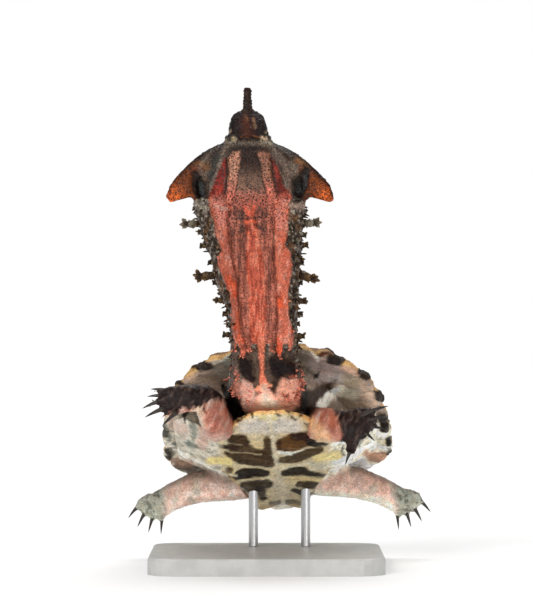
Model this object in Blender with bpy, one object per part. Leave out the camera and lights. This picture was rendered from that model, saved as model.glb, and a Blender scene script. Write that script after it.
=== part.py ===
"""Mata mata turtle, swimming belly forward with its neck stretched straight up.

A still, life-size model on a display stand. Sizes are real ones in millimetres,
and MM turns them into metres. The body has its own frame: u runs from tail to
head, v to the side (plus is towards +X) and h from belly to back.
"""
import math
import random

import bmesh
import bpy
from mathutils import Matrix, Vector
from mathutils.bvhtree import BVHTree

MM = 0.001
GAP = 0.3
SLIVER = 0.01

# Body frame: where the belly plate's front edge is, and how the body is turned
BODY_AT = (1.8, -45.0, 65.2)
BODY_PITCH = 26.0
BODY_YAW = -3.0
BODY_ROLL = 2.75

# Carapace: half width, rim height and keel height along u
CARAPACE_HALF = (
    (-114, 6), (-110, 17), (-104, 29), (-92, 43), (-77, 47.5), (-57, 46),
    (-34, 43), (-18, 36), (-3, 24), (3, 15), (6, 7),
)
RIM_HEIGHT = ((-114, 17), (-77, 17.5), (-57, 20), (-30, 22.5), (6, 25))
KEEL_HEIGHT = ((-114, 19.5), (-100, 31), (-80, 39), (-48, 41.5), (-15, 35), (6, 27.5))
RIM_HALF_THICK = 1.2
UNDERSIDE_ARCH = 3.0
DOME_POWER = 2.3

# Scutes of the carapace
SCUTE_GROOVE = 0.55
SCUTE_LIFT = 0.9
SCUTE_SINK = 1.5
SCUTE_STEP = 9.0
VERTEBRAL_SEAMS = (0, -22, -46, -70, -92, -107)
VERTEBRAL_NARROW = 9.0
VERTEBRAL_WIDE = 13.0
VERTEBRAL_KNOB = 3.4
COSTAL_KNOB = 3.0
MARGINAL_COUNT = 12
MARGINAL_DEPTH = 9.0
MARGINAL_KNOB = 2.0
MARGINAL_OVERHANG = 1.9

# Plastron: half width along u, thickness, rear notch and the bridges to the rim
PLASTRON_HALF = (
    (-100, 11), (-94, 12), (-84, 14), (-75, 17), (-65, 21), (-33, 23.6), (-24, 20.6),
    (-12, 16), (-7, 13), (-3, 9.5), (0, 6.0),
)
PLASTRON_THICK = 3.0
PLASTRON_LIP = 1.4
NOTCH_DEPTH = 7.5
NOTCH_HALF = 8.5
PLASTRON_SEAMS = (-1, -20, -37, -53, -69, -85, -98)
PLASTRON_SCUTE_LIFT = 0.5
INTERGULAR_HALF = 4.5
BRIDGE = (
    # distance from the midline, front end, rear end, height
    (19, -29, -61, 1.4), (25, -24, -63, 2.4), (31, -21, -67, 6.0), (37, -25, -72, 11.0),
    (42, -36, -76, 15.3),
)
BRIDGE_THICK = 2.2

# Torso between the two shells
TORSO_HALF = (
    (-108, 8), (-100, 20), (-85, 30), (-60, 34), (-46, 31), (-34, 26), (-24, 21), (-16, 17), (-10, 14),
)
TORSO_FLOOR = 3.3

# Neck: x, y, z of each section's centre, lean from upright, half width, half depth
NECK = (
    (-0.2, -17, 67, 66, 13.0, 8.0), (-0.2, -30, 73, 64, 13.4, 8.6),
    (-0.2, -40, 77.5, 60, 13.2, 8.8), (-0.6, -47.5, 84, 38, 13.0, 8.5), (-0.9, -52, 92, 14, 13.5, 8.8),
    (-1.3, -53.8, 99, 3, 13.3, 9.2), (-1.6, -54, 107, 0, 14.2, 9.6),
    (-2.8, -54, 113, 0, 15.6, 9.8), (-4.0, -54, 120, 0, 16.9, 10.0),
    (-4.2, -53.6, 127, 0, 17.9, 10.0), (-6.0, -53, 138.5, 0, 20.3, 9.6),
    (-6.9, -52.5, 149.7, 0, 22.4, 8.2),
)
NECK_BEND = 4
NECK_CUTS = (92.0, 114.5, 128.0)
FRINGES = (
    # height, length, width at the root, side branches
    (146.5, 2.0, 2.4, 0), (141.0, 7.8, 3.8, 3), (136.8, 2.8, 2.4, 0), (132.6, 3.6, 2.6, 1),
    (125.6, 2.4, 2.4, 0), (120.6, 8.4, 4.4, 4), (117.2, 2.6, 2.2, 0), (110.4, 4.4, 3.0, 2),
    (104.4, 3.2, 2.6, 1), (100.6, 2.2, 2.2, 0), (96.6, 4.2, 2.8, 1),
)
FRINGE_THICK = 1.5

# Head: centre line, and its edges by distance from it
HEAD_X = -7.0
HEAD_X_SNOUT = -7.6
HEAD_X_REAR = -6.4
HEAD_Y = -52.0
HEAD_BASE = 150.0
HEAD_TOP = (
    (0, 186.0), (3.3, 185.6), (5.7, 183.8), (6.7, 180.2), (7.4, 178.0), (8.4, 176.2), (9.5, 174.0),
    (14, 172.0), (19, 169.4), (24, 165.5), (29.0, 160.5), (32.2, 156.6), (33.4, 152.6),
)
HEAD_BOTTOM = (
    (0, 150.0), (22.6, 150.2), (24.6, 152.2), (27.0, 152.0), (29.2, 150.2), (31.0, 148.6), (33.4, 151.2),
)
HEAD_HALF_DEPTH = ((150, 8.0), (158, 7.8), (166, 6.6), (174, 5.0), (180, 4.4), (186, 2.6))
FLAP_HALF_DEPTH = 2.4
CORE_HALF = 20.0
FLAP_START = 22.6
JAW_PLANE = -54.6
JAW_TOP = 175.6
JAW_REAR = 152.5
RAMUS_TOP = (5.8, 172.5)
RAMUS_REAR = (9.8, 152.5)
RAMUS_RADIUS = 1.9
EAR_AT = (19.2, 155.8)
EAR_RADII = (2.9, 3.4, 5.6)
EYE_AT = (8.0, -49.6, 175.4)
EYE_RADIUS = 1.35
SNORKEL_RADIUS = 1.75
SNORKEL_TIP = 195.4

# Limbs: x, y, z, half width and half thickness along each one
ARM_RIGHT = (
    (-13, -12, 61.5, 7.5, 6.0), (-20.5, -36, 62.6, 9.6, 6.4), (-22.2, -47, 66.6, 8.6, 5.4),
    (-25.5, -54, 71.4, 5.8, 4.4), (-32, -57, 71.4, 5.5, 3.6), (-38.5, -58, 70.2, 6.0, 2.9),
    (-43.5, -58.5, 69.2, 4.9, 1.9),
)
ARM_LEFT = (
    (16, -12, 60.5, 6.5, 6.0), (25, -38, 60, 7.2, 6.6), (28, -47, 60, 6.6, 6.0),
    (32, -55, 60.2, 6.2, 4.8), (36, -61, 61, 6.6, 4.0), (40.2, -66, 62.6, 6.4, 3.2),
    (43.4, -69.5, 64.6, 5.0, 2.0),
)
LEG_RIGHT = (
    (-8, 34, 34, 7.5, 7.5), (-19, 38, 32.6, 7.4, 7.2), (-30, 43, 31, 6.9, 6.6),
    (-38.5, 48, 27.5, 6.0, 5.6), (-44, 52, 24.4, 5.8, 4.4), (-49.4, 55, 21.0, 7.0, 3.3),
    (-51.2, 56.5, 17.2, 7.4, 2.0),
)
LEG_LEFT = (
    (15, 34, 36, 7.5, 7.5), (27, 38, 34.6, 7.4, 7.2), (39, 43, 33, 6.9, 6.6),
    (48.5, 48, 29.4, 6.0, 5.6), (54.5, 52, 26.2, 5.8, 4.4), (60.4, 55, 23.2, 7.0, 3.3),
    (62.4, 56.5, 19.4, 7.4, 2.0),
)
LEG_ACROSS = (1.0, 0.1, 0.35)
ARM_LAPPET = ((35.5, -56, 58.5), (32.5, -55, 46.5), 9.0)
CLAW_LENGTH = 6.4
CLAW_RADIUS = 1.0
TAIL = ((-96, 13, 5.6), (-102, 12.5, 4.4), (-108, 12, 3.0), (-114, 12, 1.6))

# Display stand
BASE_LENGTH = 96.0
BASE_WIDTH = 104.0
BASE_HEIGHT = 7.0
BASE_CORNER = 12.0
ROD_RADIUS = 2.0
ROD_AT = (-78.0, 11.0)

SEED = 7


def along(pairs, s):
    """The smooth value at s through pairs of station and value, without overshoot."""
    stations = [pair[0] for pair in pairs]
    values = [pair[1] for pair in pairs]
    if s <= stations[0]:
        return values[0]
    if s >= stations[-1]:
        return values[-1]
    slopes = [
        (values[k + 1] - values[k]) / (stations[k + 1] - stations[k])
        for k in range(len(stations) - 1)
    ]

    def tangent(k):
        before = slopes[max(k - 1, 0)]
        after = slopes[min(k, len(slopes) - 1)]
        if before * after <= 0:
            return 0.0
        return 2.0 * before * after / (before + after)

    i = max(k for k in range(len(stations) - 1) if stations[k] <= s)
    step = stations[i + 1] - stations[i]
    t = (s - stations[i]) / step
    return (
        (2 * t**3 - 3 * t**2 + 1) * values[i]
        + (t**3 - 2 * t**2 + t) * step * tangent(i)
        + (3 * t**2 - 2 * t**3) * values[i + 1]
        + (t**3 - t**2) * step * tangent(i + 1)
    )


def spread(low, high, count):
    """Evenly spaced values from low to high."""
    return [low + (high - low) * i / (count - 1) for i in range(count)]


def body_axes():
    """The body's forward, side and dorsal directions in the world."""
    pitch = math.radians(BODY_PITCH)
    forward = Vector((0, -math.cos(pitch), math.sin(pitch)))
    side = Vector((1, 0, 0))
    yaw = Matrix.Rotation(math.radians(BODY_YAW), 3, "Z")
    forward = yaw @ forward
    side = yaw @ side
    side = Matrix.Rotation(math.radians(BODY_ROLL), 3, forward) @ side
    return forward, side, forward.cross(side)


FORWARD, SIDE, DORSAL = body_axes()


def body(u, v, h):
    """A point of the body's frame, in world millimetres."""
    return Vector(BODY_AT) + FORWARD * u + SIDE * v + DORSAL * h


def make_object(name, bm):
    """An object from a bmesh in millimetres, with its faces pointing out."""
    bmesh.ops.recalc_face_normals(bm, faces=bm.faces)
    bmesh.ops.scale(bm, vec=(MM, MM, MM), verts=bm.verts)
    mesh = bpy.data.meshes.new(name)
    bm.to_mesh(mesh)
    bm.free()
    piece = bpy.data.objects.new(name, mesh)
    bpy.context.scene.collection.objects.link(piece)
    return piece


def loft(name, rings, start=None, end=None):
    """A closed skin over rings of points, each end closed on a tip or its centre."""
    bm = bmesh.new()
    loops = [[bm.verts.new(point) for point in ring] for ring in rings]
    count = len(loops[0])
    for low, high in zip(loops, loops[1:]):
        for i in range(count):
            j = (i + 1) % count
            bm.faces.new((low[i], low[j], high[j], high[i]))
    for loop, tip in ((loops[0], start), (loops[-1], end)):
        if tip is None:
            tip = sum((vert.co for vert in loop), Vector()) / count
        peak = bm.verts.new(tip)
        for i in range(count):
            bm.faces.new((loop[i], loop[(i + 1) % count], peak))
    return make_object(name, bm)


def ring(centre, across, depth, half_width, half_depth, sides, power=2.0):
    """One section: an ellipse, squarer as power rises above 2."""
    points = []
    for i in range(sides):
        angle = 2 * math.pi * i / sides
        x = math.copysign(abs(math.cos(angle)) ** (2 / power), math.cos(angle))
        y = math.copysign(abs(math.sin(angle)) ** (2 / power), math.sin(angle))
        points.append(centre + across * (half_width * x) + depth * (half_depth * y))
    return points


def tube(name, stations, across, sides=14, power=2.0, tip=1.5):
    """A limb or tail: sections of two half sizes, square to the path, with a round end."""
    centres = [Vector(station[:3]) for station in stations]
    rings = []
    for i, station in enumerate(stations):
        ahead = centres[min(i + 1, len(centres) - 1)]
        behind = centres[max(i - 1, 0)]
        along_path = (ahead - behind).normalized()
        wide = (across - along_path * across.dot(along_path)).normalized()
        deep = along_path.cross(wide)
        rings.append(ring(centres[i], wide, deep, station[3], station[4], sides, power))
    end = centres[-1] + (centres[-1] - centres[-2]).normalized() * tip
    return loft(name, rings, end=end)


def remove(pieces):
    for piece in pieces:
        bpy.data.objects.remove(piece)


def boolean(piece, others, operation, solver="EXACT"):
    """One applied Boolean of a piece with a collection of closed objects."""
    group = bpy.data.collections.new(piece.name + "_tools")
    for other in others:
        group.objects.link(other)
    modifier = piece.modifiers.new("Boolean", "BOOLEAN")
    modifier.operation = operation
    modifier.operand_type = "COLLECTION"
    modifier.collection = group
    modifier.solver = solver
    evaluated = piece.evaluated_get(bpy.context.evaluated_depsgraph_get())
    mesh = bpy.data.meshes.new_from_object(evaluated)
    piece.modifiers.clear()
    piece.data = mesh
    bm = bmesh.new()
    bm.from_mesh(mesh)
    bmesh.ops.triangulate(bm, faces=[face for face in bm.faces if len(face.verts) > 4])
    bmesh.ops.dissolve_degenerate(bm, dist=SLIVER * MM, edges=bm.edges)
    bm.to_mesh(mesh)
    bm.free()
    bpy.data.collections.remove(group)
    remove(others)
    return piece


def islands(piece):
    """The closed surfaces of an object, largest first, each as its own bmesh."""
    bm = bmesh.new()
    bm.from_mesh(piece.data)
    bm.faces.ensure_lookup_table()
    groups = []
    seen = set()
    for face in bm.faces:
        if face in seen:
            continue
        group = set()
        stack = [face]
        seen.add(face)
        while stack:
            current = stack.pop()
            group.add(current)
            for edge in current.edges:
                for neighbour in edge.link_faces:
                    if neighbour not in seen:
                        seen.add(neighbour)
                        stack.append(neighbour)
        groups.append(group)
    parts = []
    for group in groups:
        part = bmesh.new()
        verts = {}
        shared = {}
        for face in group:
            shared.setdefault(frozenset(face.verts), []).append(face)
        for face in (twins[0] for twins in shared.values() if len(twins) == 1):
            corners = []
            for vert in face.verts:
                if vert not in verts:
                    verts[vert] = part.verts.new(vert.co)
                corners.append(verts[vert])
            part.faces.new(corners)
        part.normal_update()
        parts.append(part)
    bm.free()
    parts.sort(key=lambda part: -part.calc_volume(signed=True))
    return parts


def keep_largest(piece):
    """Drop scraps and sealed hollows, so the piece is one closed surface."""
    parts = islands(piece)
    parts[0].to_mesh(piece.data)
    for part in parts:
        part.free()
    return piece


def divide(piece, places):
    """Split an object into its closed surfaces, each named by a point inside it."""
    parts = islands(piece)
    made = []
    for name, point in places.items():
        spot = Vector(point) * MM

        def reach(part):
            tree = BVHTree.FromBMesh(part)
            nearest, normal, _, distance = tree.find_nearest(spot)
            inside = (spot - nearest).dot(normal) < 0
            return -distance if inside else distance

        chosen = min(parts, key=reach)
        mesh = bpy.data.meshes.new(name)
        chosen.to_mesh(mesh)
        node = bpy.data.objects.new(name, mesh)
        bpy.context.scene.collection.objects.link(node)
        made.append(node)
        parts.remove(chosen)
    for part in parts:
        part.free()
    remove([piece])
    return made


def grown(piece, name, by=GAP):
    """A copy of a piece, larger by a small gap all round."""
    bm = bmesh.new()
    bm.from_mesh(piece.data)
    bm.normal_update()
    for vert in bm.verts:
        vert.co += vert.normal * (by * MM * min(vert.calc_shell_factor(), 1.6))
    mesh = bpy.data.meshes.new(name)
    bm.to_mesh(mesh)
    bm.free()
    copy = bpy.data.objects.new(name, mesh)
    bpy.context.scene.collection.objects.link(copy)
    return copy


def box(name, centre, size, turn=None):
    """A plain box in millimetres, used as a cutter."""
    bm = bmesh.new()
    bmesh.ops.create_cube(bm, size=1.0)
    bmesh.ops.scale(bm, vec=size, verts=bm.verts)
    if turn is not None:
        bmesh.ops.rotate(bm, cent=(0, 0, 0), matrix=turn, verts=bm.verts)
    bmesh.ops.translate(bm, vec=centre, verts=bm.verts)
    return make_object(name, bm)


def slit(name, centre, direction, reach):
    """A thin cut square to a direction, as wide as the gap between two nodes."""
    turn = Vector(direction).to_track_quat("Z", "Y").to_matrix()
    return box(name, centre, (2 * reach, 2 * reach, GAP), turn)


def ball(name, centre, radii, rings=8, sides=12):
    bm = bmesh.new()
    bmesh.ops.create_uvsphere(bm, u_segments=sides, v_segments=rings, radius=1.0)
    bmesh.ops.scale(bm, vec=radii, verts=bm.verts)
    bmesh.ops.translate(bm, vec=centre, verts=bm.verts)
    return make_object(name, bm)


def rim_height(u):
    return along(RIM_HEIGHT, u)


def dome(u, v):
    """Height of the carapace's upper surface."""
    q = min(abs(v) / along(CARAPACE_HALF, u), 1.0)
    top = rim_height(u) + RIM_HALF_THICK
    return top + (along(KEEL_HEIGHT, u) - top) * (1 - q**DOME_POWER)


def underside(u, v):
    """Height of the carapace's lower surface, arched a little between its rims."""
    q = min(abs(v) / along(CARAPACE_HALF, u), 1.0)
    return rim_height(u) - RIM_HALF_THICK + UNDERSIDE_ARCH * (1 - q * q)


def scute(name, corners, surface, outward, lift, knob=0.0, peak=None):
    """A raised plate over a surface of the body's frame, rising to a knob."""
    middle = [sum(corner[k] for corner in corners) / len(corners) for k in (0, 1)]
    edge = []
    for i, corner in enumerate(corners):
        following = corners[(i + 1) % len(corners)]
        length = math.dist(corner, following)
        steps = max(1, round(length / SCUTE_STEP))
        for k in range(steps):
            edge.append([corner[j] + (following[j] - corner[j]) * k / steps for j in (0, 1)])
    peak = peak or middle

    def level(scale, offset, towards):
        points = []
        for point in edge:
            span = math.dist(point, towards)
            pull = max(0.0, scale - SCUTE_GROOVE / span)
            u = towards[0] + (point[0] - towards[0]) * pull
            v = towards[1] + (point[1] - towards[1]) * pull
            points.append(body(u, v, surface(u, v) + outward * offset))
        return points

    rings = [level(1.0, -SCUTE_SINK, middle), level(1.0, lift * 0.4, middle), level(0.84, lift, middle)]
    if knob:
        rings.append(level(0.42, lift + knob * 0.45, peak))
    base = body(middle[0], middle[1], surface(*middle) - outward * SCUTE_SINK)
    top = body(peak[0], peak[1], surface(*peak) + outward * (lift + knob))
    return loft(name, rings, start=base, end=top)


def carapace_core():
    """The domed shell without its scutes."""
    stations = (6, 4, 0, -6, -14, -24, -36, -48, -60, -72, -82, -90, -97, -103, -108, -112, -114)
    across = spread(-1, 1, 13)
    rings = []
    for u in stations:
        half = along(CARAPACE_HALF, u)
        upper = [body(u, q * half, dome(u, q * half)) for q in across]
        lower = [body(u, q * half, underside(u, q * half)) for q in reversed(across)]
        rings.append(upper + lower)
    return loft("carapace", rings)


def vertebral_and_costal_scutes():
    plates = []
    for i, (front, rear) in enumerate(zip(VERTEBRAL_SEAMS, VERTEBRAL_SEAMS[1:])):
        middle = (front + rear) / 2
        first = VERTEBRAL_WIDE if i == 0 else VERTEBRAL_NARROW
        last = VERTEBRAL_NARROW if i < len(VERTEBRAL_SEAMS) - 2 else VERTEBRAL_NARROW - 3
        corners = (
            (front, -first), (front, first), (middle, VERTEBRAL_WIDE), (rear, last),
            (rear, -last), (middle, -VERTEBRAL_WIDE),
        )
        peak = (rear + (front - rear) * 0.35, 0)
        plates.append(scute("vertebral_%d" % i, corners, dome, 1, SCUTE_LIFT, VERTEBRAL_KNOB, peak))
    middles = [(a + b) / 2 for a, b in zip(VERTEBRAL_SEAMS, VERTEBRAL_SEAMS[1:])]
    middles[0] = VERTEBRAL_SEAMS[0] - 3
    for side in (-1, 1):
        for i, (front, rear) in enumerate(zip(middles, middles[1:])):
            seam = VERTEBRAL_SEAMS[i + 1]
            outer_front = along(CARAPACE_HALF, front) - MARGINAL_DEPTH
            outer_rear = along(CARAPACE_HALF, rear) - MARGINAL_DEPTH
            corners = [
                (front, side * VERTEBRAL_WIDE), (seam, side * VERTEBRAL_NARROW),
                (rear, side * VERTEBRAL_WIDE), (rear, side * outer_rear),
                ((front + rear) / 2, side * (along(CARAPACE_HALF, (front + rear) / 2) - MARGINAL_DEPTH)),
                (front, side * max(outer_front, VERTEBRAL_WIDE + 3)),
            ]
            peak = (rear + (front - rear) * 0.4, side * (VERTEBRAL_WIDE + outer_rear) / 2)
            name = "costal_%d_%d" % (side, i)
            plates.append(scute(name, corners, dome, 1, SCUTE_LIFT, COSTAL_KNOB, peak))
    return plates


def rim_points():
    """The rim from front to rear on one side, with the length so far."""
    points = []
    length = 0.0
    for u in spread(6, -114, 121):
        point = (u, along(CARAPACE_HALF, u))
        if points:
            length += math.dist(point, points[-1][1])
        points.append((length, point))
    return points


def marginal_scutes():
    """Twelve plates round each side of the rim, each with a knob that stands out."""
    points = rim_points()
    total = points[-1][0]

    def at(length):
        near = min(points, key=lambda entry: abs(entry[0] - length))
        return Vector(near[1])

    plates = []
    for side in (-1, 1):
        for i in range(MARGINAL_COUNT):
            first = total * i / MARGINAL_COUNT
            last = total * (i + 1) / MARGINAL_COUNT
            front = at(first)
            rear = at(last)
            centre = at(first + (last - first) * 0.6)
            run = (rear - front).normalized()
            outward = Vector((-run.y, run.x))
            if outward.y < 0:
                outward = -outward
            corners = [
                front + outward * 0.5, centre + outward * MARGINAL_OVERHANG, rear + outward * 0.5,
                rear - outward * MARGINAL_DEPTH, front - outward * MARGINAL_DEPTH,
            ]
            corners = [(c.x, side * max(c.y, 0.6)) for c in corners]
            knob_at = centre - outward * 1.2
            peak = (knob_at.x, side * knob_at.y)
            name = "marginal_%d_%d" % (side, i)
            plates.append(scute(name, corners, dome, 1, SCUTE_LIFT * 0.8, MARGINAL_KNOB, peak))
    return plates


def make_carapace():
    core = carapace_core()
    plates = vertebral_and_costal_scutes() + marginal_scutes()
    return core, plates


def plastron_core():
    """The belly plate with a notched rear edge and a bridge up to the rim on each side."""
    stations = (0, -1.5, -4, -8, -12, -20, -28, -36, -48, -58, -66, -75, -84, -91, -96, -100)
    across = spread(-1, 1, 9)
    rings = []
    for u in stations:
        half = along(PLASTRON_HALF, u)
        towards_rear = min(max((-85 - u) / 15, 0.0), 1.0)

        def place(q, h):
            v = q * half
            notch = NOTCH_DEPTH * max(0.0, 1 - abs(v) / NOTCH_HALF) * towards_rear
            return body(u + notch, v, h)

        thick = PLASTRON_LIP + (PLASTRON_THICK - PLASTRON_LIP) * min(-u / 14, 1.0)
        lower = [place(q, thick * 0.3 if abs(q) == 1 else 0.0) for q in across]
        upper = [place(q, thick) for q in reversed(across)]
        rings.append(lower + upper)
    core = loft("plastron", rings)
    wings = []
    for side in (-1, 1):
        sections = []
        for v, front, rear, height in BRIDGE:
            middle = (front + rear) / 2
            half = (front - rear) / 2
            centre = body(middle, side * v, height)
            sections.append(ring(centre, FORWARD, DORSAL, half, BRIDGE_THICK / 2, 14, 4.0))
        wings.append(loft("bridge_%d" % side, sections))
    return boolean(core, wings, "UNION")


def plastron_scutes():
    """Six pairs of plates and the single one between the front pair."""

    def flat(u, v):
        return 0.0

    plates = []
    for side in (-1, 1):
        for i, (front, rear) in enumerate(zip(PLASTRON_SEAMS, PLASTRON_SEAMS[1:])):
            inner_front = INTERGULAR_HALF if i == 0 else 0.2
            inner_rear = 0.2
            if i == len(PLASTRON_SEAMS) - 2:
                rear_inner = rear + NOTCH_DEPTH - 1
            else:
                rear_inner = rear
            corners = (
                (front, side * inner_front), (front, side * (along(PLASTRON_HALF, front) - 1)),
                (rear, side * (along(PLASTRON_HALF, rear) - 1)), (rear_inner, side * inner_rear),
            )
            name = "belly_%d_%d" % (side, i)
            plates.append(scute(name, corners, flat, -1, PLASTRON_SCUTE_LIFT))
    front = PLASTRON_SEAMS[0]
    corners = ((front, -INTERGULAR_HALF), (front, INTERGULAR_HALF), (PLASTRON_SEAMS[1] + 3, 0.0))
    plates.append(scute("intergular", corners, flat, -1, PLASTRON_SCUTE_LIFT))
    return plates


def torso_core():
    """The flesh that fills the shell, open in front for the neck and shoulders."""
    rings = []
    across = spread(-1, 1, 13)
    for u in (-10, -16, -24, -34, -46, -60, -76, -88, -97, -103, -108):
        half = along(TORSO_HALF, u)
        upper = [body(u, q * half, underside(u, q * half) - GAP * 1.5) for q in across]
        lower = []
        for q in reversed(across):
            edge = underside(u, q * half) - 4.0
            lift = max(0.0, (abs(q) - 0.45) / 0.55) ** 1.5
            lower.append(body(u, q * half, TORSO_FLOOR + (edge - TORSO_FLOOR) * lift))
        rings.append(upper + lower)
    return loft("torso_core", rings)


def neck_core():
    """The flattened neck, from inside the torso up to the back of the head."""
    rings = []
    for x, y, z, lean, half_width, half_depth in NECK:
        lean = math.radians(lean)
        depth = Vector((0, math.cos(lean), math.sin(lean)))
        rings.append(
            ring(Vector((x, y, z)), Vector((1, 0, 0)), depth, half_width, half_depth, 22, 2.5)
        )
    return loft("neck_core", rings)


def tail_core():
    stations = []
    for u, h, radius in TAIL:
        stations.append((*body(u, 0, h), radius, radius * 0.9))
    return tube("tail_core", stations, SIDE, sides=10)


def neck_frame(height):
    """Centre and half width of the neck at a height."""
    upright = NECK[NECK_BEND:]
    x = along([(row[2], row[0]) for row in upright], height)
    y = along([(row[2], row[1]) for row in upright], height)
    half = along([(row[2], row[4]) for row in upright], height)
    return x, y, half


def spine(name, root, direction, length, wide, thick, flat_side):
    """A flat tapering lappet that bends a little towards its tip."""
    direction = direction.normalized()
    across = direction.cross(flat_side).normalized()
    rings = []
    for share, scale in ((0.0, 1.0), (0.55, 0.62), (0.85, 0.34)):
        centre = root + direction * (length * share)
        rings.append(ring(centre, across, flat_side, wide / 2 * scale, thick / 2 * scale, 6))
    return loft(name, rings, end=root + direction * length)


def neck_fringes(low, high):
    """The lappets of one length of neck, on both sides, some of them branched."""
    rng = random.Random(SEED + round(low))
    lappets = []
    for height, length, wide, branches in FRINGES:
        if not low < height < high:
            continue
        for side in (-1, 1):
            x, y, half = neck_frame(height)
            sink = 3.0
            root = Vector((x + side * (half - sink), y + 1.0, height))
            tilt = rng.uniform(-0.12, 0.06)
            direction = Vector((side, rng.uniform(-0.1, 0.1), tilt)).normalized()
            facing = Vector((0, 1, 0))
            name = "fringe_%d_%d" % (side, round(height))
            lappets.append(spine(name, root, direction, length + sink, wide, FRINGE_THICK, facing))
            for k in range(branches):
                turn = 1 if k % 2 else -1
                share = 0.45 + 0.4 * k / max(branches, 1)
                start = root + direction * ((length + sink) * share - 0.8)
                heading = (direction + Vector((0, 0, turn * rng.uniform(0.9, 1.4)))).normalized()
                lappets.append(
                    spine(name + "_%d" % k, start, heading, wide * 0.75, 1.6, 1.0, facing)
                )
    return lappets


def head_x(height):
    """The head's centre line, which leans a little to the side."""
    share = (height - HEAD_BASE) / (HEAD_TOP[0][1] - HEAD_BASE)
    return HEAD_X_REAR + (HEAD_X_SNOUT - HEAD_X_REAR) * min(max(share, 0.0), 1.0)


def head_section(x):
    """A section of the head at a distance from its centre line, as a closed ring."""
    reach = abs(x)
    top = along(HEAD_TOP, reach)
    bottom = along(HEAD_BOTTOM, reach)
    front = []
    back = []
    for t in spread(0, 1, 13):
        z = bottom + (top - bottom) * t
        core = max(0.0, 1 - (reach / CORE_HALF) ** 2.4) ** 0.5
        depth = along(HEAD_HALF_DEPTH, z)
        edge = min(1.0, (1 - t) * (top - bottom) / 5.0) ** 0.5
        if reach > FLAP_START:
            edge *= min(1.0, 0.25 + t * (top - bottom) / 3.0) ** 0.5
        flap = FLAP_HALF_DEPTH * min(1.0, (HEAD_TOP[-1][0] + 0.4 - reach) / 4.0) ** 0.5
        half = max(flap, depth * core) * max(edge, 0.14)
        middle = head_x(z)
        front.append(Vector((middle + x, HEAD_Y - half, z)))
        back.append(Vector((middle + x, HEAD_Y + half, z)))
    return front + back[::-1]


def make_head():
    """Skull and flaps in one, then parted into head, lower jaw and the two flaps."""
    edges = [pair[0] for pair in HEAD_TOP]
    stations = sorted({-x for x in edges} | set(edges) | {-11.5, 11.5, -16.5, 16.5, -21.5, 21.5})
    head = loft("head_core", [head_section(x) for x in stations])
    ridges = []
    cutters = []
    for side in (-1, 1):
        top = Vector((head_x(RAMUS_TOP[1]) + side * RAMUS_TOP[0], HEAD_Y - 3.8, RAMUS_TOP[1]))
        rear_x = head_x(RAMUS_REAR[1]) + side * RAMUS_REAR[0]
        rear = Vector((rear_x, HEAD_Y - 6.2, RAMUS_REAR[1] + 1.0))
        path = [(*top.lerp(rear, t), RAMUS_RADIUS, RAMUS_RADIUS) for t in spread(0, 1, 4)]
        ridges.append(tube("ramus_%d" % side, path, Vector((1, 0, 0)), sides=8))
        ear = (head_x(EAR_AT[1]) + side * EAR_AT[0], HEAD_Y - 4.2, EAR_AT[1])
        cutters.append(ball("ear_%d" % side, ear, EAR_RADII))
        flap_cut = (HEAD_X + side * FLAP_START, HEAD_Y, 158)
        cutters.append(box("flap_cut_%d" % side, flap_cut, (GAP, 20, 30)))
        cutters.append(ball("eye_cut_%d" % side, eye_centre(side), [EYE_RADIUS + GAP] * 3))
    boolean(head, ridges, "UNION")
    jaw_middle = (JAW_TOP + JAW_REAR) / 2
    span = 2 * FLAP_START - 1.0
    depth = 12.0
    mouth = [
        box("mouth_cut", (HEAD_X, JAW_PLANE, jaw_middle), (span, GAP, JAW_TOP - JAW_REAR + GAP)),
        box("lip_cut", (HEAD_X, JAW_PLANE - depth / 2, JAW_TOP), (span, depth + GAP, GAP)),
        box("jaw_cut", (HEAD_X, JAW_PLANE - depth / 2, JAW_REAR), (span, depth + GAP, GAP)),
    ]
    tools = boolean(mouth[0], mouth[1:], "UNION")
    boolean(head, cutters + [tools], "DIFFERENCE")
    return divide(head, {
        "head": (HEAD_X, HEAD_Y + 1, 165),
        "lower_jaw": (HEAD_X, JAW_PLANE - 1, 160),
        "head_flap_right": (HEAD_X - 28, HEAD_Y, 156),
        "head_flap_left": (HEAD_X + 28, HEAD_Y, 156),
    })


def eye_centre(side):
    return (head_x(EYE_AT[2]) + side * EYE_AT[0], EYE_AT[1], EYE_AT[2])


def make_snorkel():
    """The breathing tube, with two nostrils side by side at its tip."""
    base = along(HEAD_TOP, 0) + GAP
    rings = []
    up = Vector((0, 0, 1))
    for share, scale in ((0, 1.45), (0.12, 1.05), (0.5, 1.0), (0.8, 0.95), (0.93, 1.05), (1.0, 0.8)):
        centre = Vector((HEAD_X_SNOUT, HEAD_Y, base)) + up * ((SNORKEL_TIP - base) * share)
        radius = SNORKEL_RADIUS * scale
        rings.append(ring(centre, Vector((1, 0, 0)), Vector((0, 1, 0)), radius, radius * 0.9, 12))
    snorkel = loft("snorkel", rings)
    nostrils = []
    for side in (-1, 1):
        at = (HEAD_X_SNOUT + side * 0.62, HEAD_Y, SNORKEL_TIP)
        nostrils.append(ball("nostril_%d" % side, at, (0.42, 0.6, 1.6), 6, 8))
    return boolean(snorkel, nostrils, "DIFFERENCE")


def claw(name, root, direction, droop, length=CLAW_LENGTH, radius=CLAW_RADIUS):
    """A pointed claw that curves down, its root sunk in the toe."""
    direction = direction.normalized()
    side = direction.cross(droop).normalized()
    rings = []
    for share, scale in ((0.0, 1.0), (0.45, 0.8), (0.8, 0.42)):
        centre = root + direction * (length * share) + droop * (length * 0.16 * share**2)
        deep = side.cross(direction)
        rings.append(ring(centre, side, deep, radius * scale, radius * scale * 0.85, 5))
    return loft(name, rings, end=root + direction * length + droop * (length * 0.16))


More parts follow.
